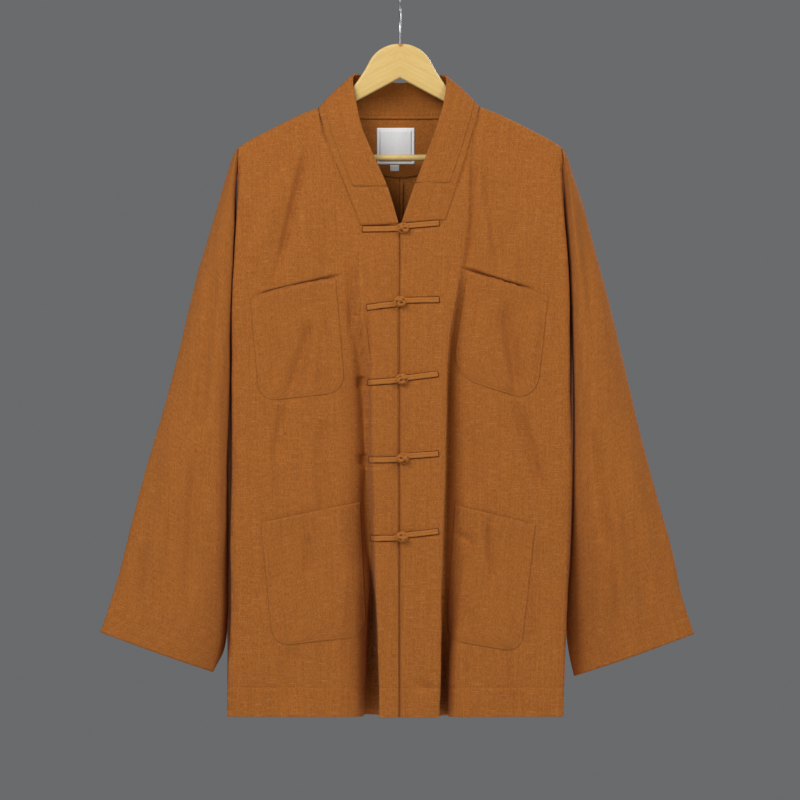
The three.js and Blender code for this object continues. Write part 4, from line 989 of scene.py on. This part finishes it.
# Inside the neck: facing, bare label with a sewn border, bare size tag.
neckPatch = dict(halfWidth=89, used=0.985, drop=92, least=3, wall=0.8, columns=60, rows=24, below=0.35)
labelSize = dict(left=-30.5, right=19, top=26, bottom=74, wall=0.6, border=3.6)
facingWaves = dict(size=20, height=0.35, seed=91)
fieldLayer = dict(lift=0.35, wall=0.3)
tagSize = dict(left=-13, right=-1, top=74.8, bottom=83, wall=0.5)
sweep = np.linspace(-1, 1, neckPatch["columns"] + 1) * math.pi / 2
facingXs = neckPatch["halfWidth"] * neckPatch["used"] * np.sin(sweep)
neckDrops = []
for x in facingXs:
    line = neckLines[1 if x >= 0 else -1, -1]
    neckDrops.append(np.interp(abs(x), line["x"], line["drop"]) + neckPatch["below"])
arc = neckPatch["drop"] * np.sqrt(1 - (facingXs / neckPatch["halfWidth"]) ** 2)
lowDrops = np.maximum(arc, np.array(neckDrops) + neckPatch["least"])
facingDrops = mix(np.array(neckDrops), lowDrops, np.linspace(0, 1, neckPatch["rows"] + 1)[:, None])
facingGrid = layOn(backTrees, np.broadcast_to(facingXs, facingDrops.shape), facingDrops,
                   garment["cloth"] + garment["layGap"] + neckPatch["wall"], behind=True)
facingGrid = roughen(facingGrid, forward, mask=seamMask(facingGrid, top=6, bottom=6), **facingWaves)
clothPiece("neckFacing", "neck_facing", facingGrid, forward, linen, wall=neckPatch["wall"], flat=(0.18, 0.09),
           held="hung", rests_on=["backPanel_left", "backPanel_right"], area=0.0118)
facingTree = surfaceTree(facingGrid)


def flatLayer(size, columns, rows, tree, lift):
    xs, drops = np.meshgrid(np.linspace(size["left"], size["right"], columns),
                            np.linspace(size["top"], size["bottom"], rows))
    return layOn([tree], xs, drops, lift)


labelGrid = flatLayer(labelSize, 34, 34, facingTree, garment["layGap"] + labelSize["wall"])
clothPiece("neckLabel", "label", labelGrid, forward, tape, "label_tape", labelSize["wall"],
           flat=(0.0495, 0.048), held="hung", rests_on=["neckFacing"])
inward = dict(left=1, right=-1, top=1, bottom=-1)
field = {edge: labelSize[edge] + way * labelSize["border"] for edge, way in inward.items()}
fieldGrid = flatLayer(field, 20, 20, surfaceTree(labelGrid), fieldLayer["lift"])
clothPiece("neckLabel_field", None, fieldGrid, forward, greyTape, "label_tape", fieldLayer["wall"])
tagGrid = flatLayer(tagSize, 10, 8, facingTree, garment["layGap"] + tagSize["wall"])
clothPiece("sizeTag", "size_tag", tagGrid, forward, tape, "label_tape", tagSize["wall"],
           flat=(0.012, 0.0164), held="folded", rests_on=["neckFacing"], area=0.0001)
print("neck facing and label in")


def ringFaces(rings, sides, closed=False):
    faces = []
    for i in range(rings if closed else rings - 1):
        for k in range(sides):
            j, m = (i + 1) % rings, (k + 1) % sides
            faces.append((i * sides + k, i * sides + m, j * sides + m, j * sides + k))
    return faces


def tube(points, radius, sides=10, closed=False):
    p = np.asarray(points, float)
    n = len(p)
    tangent = np.roll(p, -1, 0) - np.roll(p, 1, 0) if closed else np.gradient(p, axis=0)
    tangent /= np.linalg.norm(tangent, axis=1, keepdims=True)
    normal = np.cross(tangent[0], (0.31, 0.83, 0.45))
    frames = []
    for t in tangent:
        normal = normal - t * np.dot(normal, t)
        normal = normal / np.linalg.norm(normal)
        frames.append((normal, np.cross(t, normal)))
    twist = 0
    if closed:
        # The twist left over at the join is shared out along the loop.
        first, last = frames[0], frames[-1]
        twist = math.atan2(np.dot(last[0], first[1]), np.dot(last[0], first[0]))
    radii = np.broadcast_to(radius, n)
    verts = []
    for i, (a, b) in enumerate(frames):
        for k in range(sides):
            angle = 2 * math.pi * k / sides - twist * i / n
            verts.append(p[i] + radii[i] * (a * math.cos(angle) + b * math.sin(angle)))
    faces = ringFaces(n, sides, closed)
    if not closed:
        faces += [tuple(range(sides))[::-1], tuple(range((n - 1) * sides, n * sides))]
    return np.array(verts), faces


def joined(parts):
    verts, faces, base = [], [], 0
    for points, polygons in parts:
        verts.append(points)
        faces += [tuple(i + base for i in polygon) for polygon in polygons]
        base += len(points)
    return np.concatenate(verts), faces


def solidPiece(name, node, parts, material, slot):
    points, faces = joined(parts)
    newPiece(name, node, points, [face[::-1] for face in faces], material, slot)


stitch = dict(pitch=3.3, lead=0.4, length=2.3, half=0.26, high=0.22, endSink=0.1, sideLift=0.05, deep=0.25)
stitchFaces = [(k, (k + 1) % 4, 4) for k in range(4)] + [((k + 1) % 4, k, 5) for k in range(4)]


def stitches(points, normals):
    run = lengths(points[None], 1)[0]

    def at(values, place):
        return np.array([np.interp(place, run, column) for column in values.T])

    parts = []
    for k in range(int(run[-1] / stitch["pitch"])):
        place = k * stitch["pitch"] + stitch["lead"]
        start, end = at(points, place), at(points, place + stitch["length"])
        up = at(normals, place + stitch["length"] / 2)
        up /= np.linalg.norm(up)
        beside = np.cross(end - start, up)
        beside *= stitch["half"] / np.linalg.norm(beside)
        centre = (start + end) / 2
        edge, sunk = up * stitch["sideLift"], up * stitch["endSink"]
        parts.append((np.array([start - sunk, centre - beside + edge, end - sunk, centre + beside + edge,
                                centre + up * stitch["high"], centre - up * stitch["deep"]]), stitchFaces))
    return parts


# Points and normals of a pocket, for shares of its width and height.
def pocketLine(pocket, shares):
    grid, shares = pocket["grid"], np.array(shares)
    columns, rows = (np.interp(shares[:, i], pocket[key], np.arange(len(pocket[key])))
                     for i, key in enumerate("uv"))
    r, c = np.clip(rows.astype(int), 0, grid.shape[0] - 2), np.clip(columns.astype(int), 0, grid.shape[1] - 2)
    s, t = (rows - r)[:, None], (columns - c)[:, None]
    return [mix(mix(values[r, c], values[r, c + 1], t), mix(values[r + 1, c], values[r + 1, c + 1], t), s)
            for values in (grid, normalsOf(grid, forward))]


# Each line of stitches follows the row of the grid that lies nearest to it.
for side, name in sideNames.items():
    sewn = []
    for grid, outward in ((fronts[side], forward), (backs[side], backward)):
        normals = normalsOf(grid, outward)
        for above in (hem["stitch"], hem["edge"]):
            nearest = np.argmin(np.abs(grid[:, 12, 2] - (garment["hemDrop"] - above)))
            sewn += stitches(grid[nearest, 6:-1], normals[nearest, 6:-1])
    grid = sleeves[side]
    away = np.linalg.norm(grid[:, 20] - grid[-1, 20], axis=-1)
    nearest = np.argmin(np.abs(away - cuff["stitch"]))
    sewn += stitches(grid[nearest, 1:-1], normalsOf(grid, (side, 0, 0))[nearest, 1:-1])
    for pocket in pocketSet.values():
        if pocket["side"] != side:
            continue
        inU, inV = pocketMesh["edgeStitch"] / pocket["width"], pocketMesh["edgeStitch"] / pocket["length"]
        down, over = np.linspace(0.005, 1 - inV, 80), np.linspace(inU, 1 - inU, 60)
        sewn += stitches(*pocketLine(pocket, [*((inU, v) for v in down), *((u, 1 - inV) for u in over),
                                               *((1 - inU, v) for v in down[::-1])]))
        mouth = pocket["hem"] / pocket["length"]
        sewn += stitches(*pocketLine(pocket, [(u, mouth) for u in over]))
    solidPiece(f"hemStitches_{name}", None, sewn, thread, "linen")
nearest = np.argmin(np.abs(edgeStitch[:, 40] - guardEdge["stitch"]))
sewn = stitches(guardGrid[nearest], normalsOf(guardGrid, backward)[nearest])
solidPiece("guardStitches", None, sewn, thread, "linen")
print("hems stitched")

frogCord = dict(radius=1.7, loop=6.6, flat=0.86, rise=0.5, aside=0.6, below=0.2, ball=5.7, strand=1.75,
                sink=0.4, sides=12, restsOn=(-6, -3, 3, 6), core=(-3, 0, 3), coreRadii=(1.4, 2.2, 1.4))
knot = dict(turn=0.92, swell=0.85, phase=0.6, wide=1.12, deep=0.85, high=0.9, lean=0.35, leanStep=0.9,
            settle=0.6)
# A tab is one strip folded flat, with a shallow groove where its edges meet.
tabProfile = [(-0.86, 0), (-1, 0.5), (-0.96, 0.8), (-0.78, 0.97), (-0.42, 1), (-0.14, 0.96), (0, 0.8),
              (0.14, 0.96), (0.42, 1), (0.78, 0.97), (0.96, 0.8), (1, 0.5), (0.86, 0)]
tabFeet = (-0.9, -0.45, 0, 0.45, 0.9)
clothTrees = [*frontTrees.values(), surfaceTree(bandGrid)]
clothNudges = ((0, 0), (0.7, 0), (-0.7, 0), (1.8, 0), (-1.8, 0), (0, 1.2), (0, -1.2), (2, 2.5), (-2, 2.5))


# Height of the cloth in front at a point, the nearer of the two fronts.
def clothOut(x, drop):
    return findOn(clothTrees, x, drop, clothNudges)[0][1]


# Unit steps along a tab and across it.
def tabWays(start, end):
    way = np.subtract(end, start) / np.linalg.norm(np.subtract(end, start))
    return way, np.array([-way[1], way[0]])


def flatTab(start, end, seed):
    beside = tabWays(start, end)[1]
    rows, count = frogTab["rows"], len(tabProfile)
    verts = []
    for t in np.linspace(0, 1, rows):
        middle = mix(np.array(start), np.array(end), t) + beside * noiseAt(t * 3, seed, 0) * frogTab["wander"]
        half = frogTab["half"] * (1 + frogTab["uneven"] * noiseAt(t * 5, seed, 4))
        ground = [clothOut(*(middle + beside * half * foot)) for foot in tabFeet]
        for across, height in tabProfile:
            x, drop = middle + beside * half * across
            base = np.interp(across, tabFeet, ground) - frogTab["sink"]
            verts.append((x, base + frogTab["high"] * height, drop))
    ends = [tuple(range(first, first + count)) for first in (0, (rows - 1) * count)]
    return np.array(verts), ringFaces(rows, count) + ends


def cordLoop(x, drop):
    radius, points = frogCord["loop"], []
    for angle in np.linspace(0, 2 * math.pi, 40, endpoint=False):
        px, pd = x + radius * math.cos(angle), drop + frogCord["flat"] * radius * math.sin(angle)
        points.append((px, clothOut(px, pd) + frogCord["radius"] - frogCord["sink"] + frogCord["rise"], pd))
    points = np.array(points)
    for _ in range(3):
        points = 0.25 * np.roll(points, 1, 0) + 0.5 * points + 0.25 * np.roll(points, -1, 0)
    return tube(points, frogCord["radius"], frogCord["sides"], True)


# A button knot: one strand wound round a ball, over and under itself.
def knotStrand(centre, lean):
    points = []
    c, s = math.cos(lean), math.sin(lean)
    for t in np.linspace(0, 2 * math.pi, 120, endpoint=False):
        longitude, latitude = 2 * t, knot["turn"] * math.sin(3 * t)
        r = (frogCord["ball"] - frogCord["strand"]
             + knot["swell"] * frogCord["strand"] * math.sin(6 * t + knot["phase"]))
        x, y, z = (r * math.cos(latitude) * math.cos(longitude), r * math.cos(latitude) * math.sin(longitude),
                   r * math.sin(latitude))
        points.append((centre[0] + knot["wide"] * (c * x - s * z), centre[1] + knot["deep"] * y,
                       centre[2] + knot["high"] * (s * x + c * z)))
    return np.array(points)


def frogPiece(name, node, parts):
    points, faces = joined(parts)
    newPiece(name, node, points, faces, cord, "frog_cord", points[:, ::2] * (mm, -mm), closed=True)


for i, frog in enumerate(frogs):
    base = max(clothOut(frog.x + aside, frog.drop) for aside in frogCord["restsOn"])
    out = base + frogCord["ball"] - knot["settle"]
    core = [(frog.x + aside, out, frog.drop) for aside in frogCord["core"]]
    frogPiece(f"frogKnot_{i + 1}", f"frog_{i + 1}_knot", [
        flatTab(*frogTabs[2 * i], seed=3 + i),
        tube(knotStrand((frog.x, out, frog.drop), knot["lean"] + knot["leanStep"] * i), frogCord["strand"],
             frogCord["sides"], True),
        tube(core, frogCord["coreRadii"], frogCord["sides"])])
    frogPiece(f"frogLoop_{i + 1}", f"frog_{i + 1}_loop", [
        flatTab(*frogTabs[2 * i + 1], seed=13 + i),
        cordLoop(frog.x - frogCord["aside"], frog.drop + frogCord["below"])])

# The dark line round each tab, open at the knot: a thread whose near-black colour is painted shade, standing
# in for the shadow along the tab edges.
sewing = dict(radius=0.5, beside=0.3, start=4, lift=0.2)
sewn = []
for start, end in frogTabs:
    way, aside = tabWays(start, end)
    beside = aside * (frogTab["half"] + sewing["beside"])
    root, tip = np.array(start) + way * sewing["start"], np.array(end) + way * sewing["beside"]
    run = [mix(root - beside, tip - beside, t) for t in np.linspace(0, 1, 24)]
    run += [mix(tip - beside, tip + beside, t) for t in np.linspace(0, 1, 8)[1:-1]]
    run += [mix(tip + beside, root + beside, t) for t in np.linspace(0, 1, 24)]
    line = [(x, clothOut(x, drop) + sewing["lift"], drop) for x, drop in run]
    sewn.append(tube(line, sewing["radius"], 8))
newPiece("frogSewingShade", None, *joined(sewn), tabShadeThread, "frog_cord", closed=True)
print("frogs tied")

hanger = dict(thick=13, bevel=3, belowCloth=3.4, barRadius=4.15, barDrop=66, barReach=198, wire=1.6,
              hookRadius=20, hookBend=55, hookTip=205, hookDepth=22, apex=-119.5)
# The board's outline is x and height above the frame's origin.
bell = [(0, -74.6), (11.8, -75.7), (26.2, -82), (36.7, -92), (44.5, -105.8), (51, -116.3), (61.6, -130.7),
        (84, -151), (104, -166)]
armEnd = [(210, -213), (210.5, -224), (206, -231), (196, -232.5), (188, -228), (183, -217)]
armTop = [(x, garment["neckHeight"] - drop - hanger["belowCloth"])
          for x, drop in zip(shoulder["x"], shoulder["drop"]) if 110 < x < 210]
corners = [*bell, *armTop, *armEnd]
rightHalf = through(corners, [4] * (len(corners) - 1))
outline = [*rightHalf, (0, hanger["apex"]), *[(-x, z) for x, z in rightHalf[:0:-1]]]
curve = bpy.data.curves.new("hangerBoard", "CURVE")
curve.dimensions = "2D"
curve.fill_mode = "BOTH"
curve.extrude = (hanger["thick"] / 2 - hanger["bevel"]) * mm
curve.bevel_depth = hanger["bevel"] * mm
curve.bevel_resolution = 4
curve.offset = -hanger["bevel"] * mm
spline = curve.splines.new("POLY")
spline.points.add(len(outline) - 1)
for point, (x, z) in zip(spline.points, outline):
    point.co = (x * mm, z * mm, 0, 1)
spline.use_cyclic_u = True
flatBoard = addObject("hangerBoardCurve", curve)
flatBoard.rotation_euler = (math.pi / 2, 0, 0)
bpy.context.view_layer.update()
boardMesh = bpy.data.meshes.new_from_object(flatBoard.evaluated_get(bpy.context.evaluated_depsgraph_get()))
boardMesh.transform(flatBoard.matrix_world)
bpy.data.objects.remove(flatBoard)
boardMesh.name = "hangerBoard"
boardMesh.materials.clear()
boardMesh.materials.append(wood)
boardMesh.polygons.foreach_set("use_smooth", [False] * len(boardMesh.polygons))
ridingPiece("hangerBoard", boardMesh, "hanger_wood")

barLine = [(x, 0, hanger["barDrop"]) for x in np.linspace(-hanger["barReach"], hanger["barReach"], 40)]
solidPiece("trouserBar", "hanger_bar", [tube(barLine, hanger["barRadius"], 28)], wood, "pale_wood")

# The hook: a stem with one bend, then a round open loop. Points are y and height.
wireRound = hanger["hookRadius"] + hanger["wire"]
bend, tip = math.radians(hanger["hookBend"]), math.radians(hanger["hookTip"])
bendRadius = wireRound * math.cos(bend) / (1 - math.cos(bend))
bendHeight = -hanger["hookRadius"] - (wireRound + bendRadius) * math.sin(bend)
stemFoot = bell[0][1] - hanger["hookDepth"]
hookLine = [(0, mix(stemFoot, bendHeight, share)) for share in (0, 0.5, 0.8)]
hookLine += [(bendRadius * (1 - math.cos(a)), bendHeight + bendRadius * math.sin(a))
             for a in np.linspace(0, bend, 12)]
hookLine += [(wireRound * math.cos(a), -hanger["hookRadius"] + wireRound * math.sin(a))
             for a in np.linspace(-bend, tip, 60)[1:]]
hookPoints = [(0, -y, garment["neckHeight"] - z) for y, z in hookLine]
solidPiece("hookWire", "hanger_hook", [tube(hookPoints, hanger["wire"], 14)], steel, "hook_steel")
print("hanger ready")

room = dict(floorZ=-1.4, half=3.0, tone=(0.72, 0.72, 0.73), light=(0.78, 0.78, 0.78),
            sky=(0.60, 0.61, 0.63, 1), skyPower=0.24)
floorMesh = bpy.data.meshes.new("floor")
floorMesh.from_pydata([(x * room["half"], y * room["half"], room["floorZ"])
                  for x, y in ((-1, -1), (1, -1), (1, 1), (-1, 1))], [], [(0, 1, 2, 3)])
floorMaterial, floorTree, floorShader = newMaterial("paleFloor", {"Roughness": 0.8})
patches = stretched(floorTree, objectSpace(floorTree), (3, 3, 3))
feed(floorTree, floorShader["Base Color"], blendColour(floorTree, patches, room["tone"], room["light"]))
floorMesh.materials.append(floorMaterial)
addObject("floor", floorMesh)

world = bpy.data.worlds.new("studio")
world.use_nodes = True
for socket, value in enumerate((room["sky"], room["skyPower"])):
    world.node_tree.nodes["Background"].inputs[socket].default_value = value
bpy.context.scene.world = world

# Soft square lights: where they stand, how high on the centre line they aim, size and power.
for name, place, aim, size, power in (
        ("keyLight", (-2.0, -2.3, 1.8), -0.35, 1.5, 65),
        ("fillLight", (2.5, -2.1, 1.6), -0.35, 1.6, 55),
        ("frontLight", (-0.95, -2.85, 1.2), -0.2, 1.4, 30),
        ("backLight", (1.8, 2.2, 1.2), -0.5, 1.6, 52)):
    light = bpy.data.lights.new(name, "AREA")
    light.shape = "RECTANGLE"
    light.size = light.size_y = size
    light.energy = power
    lamp = addObject(name, light)
    lamp.location = place
    lamp.rotation_euler = (Vector((0, 0, aim)) - Vector(place)).to_track_quat("-Z", "Y").to_euler()

view = dict(distance=9.5, centreZ=-0.542, wide=1.048, nearOut=0.018)
camera = bpy.data.cameras.new("camera")
camera.sensor_width = 36
camera.lens = camera.sensor_width * (view["distance"] - view["nearOut"]) / view["wide"]
cameraObject = addObject("camera", camera)
cameraObject.location = (0, -view["distance"], view["centreZ"])
cameraObject.rotation_euler = (math.pi / 2, 0, 0)
bpy.context.scene.camera = cameraObject
bpy.context.scene.view_settings.view_transform = "Standard"
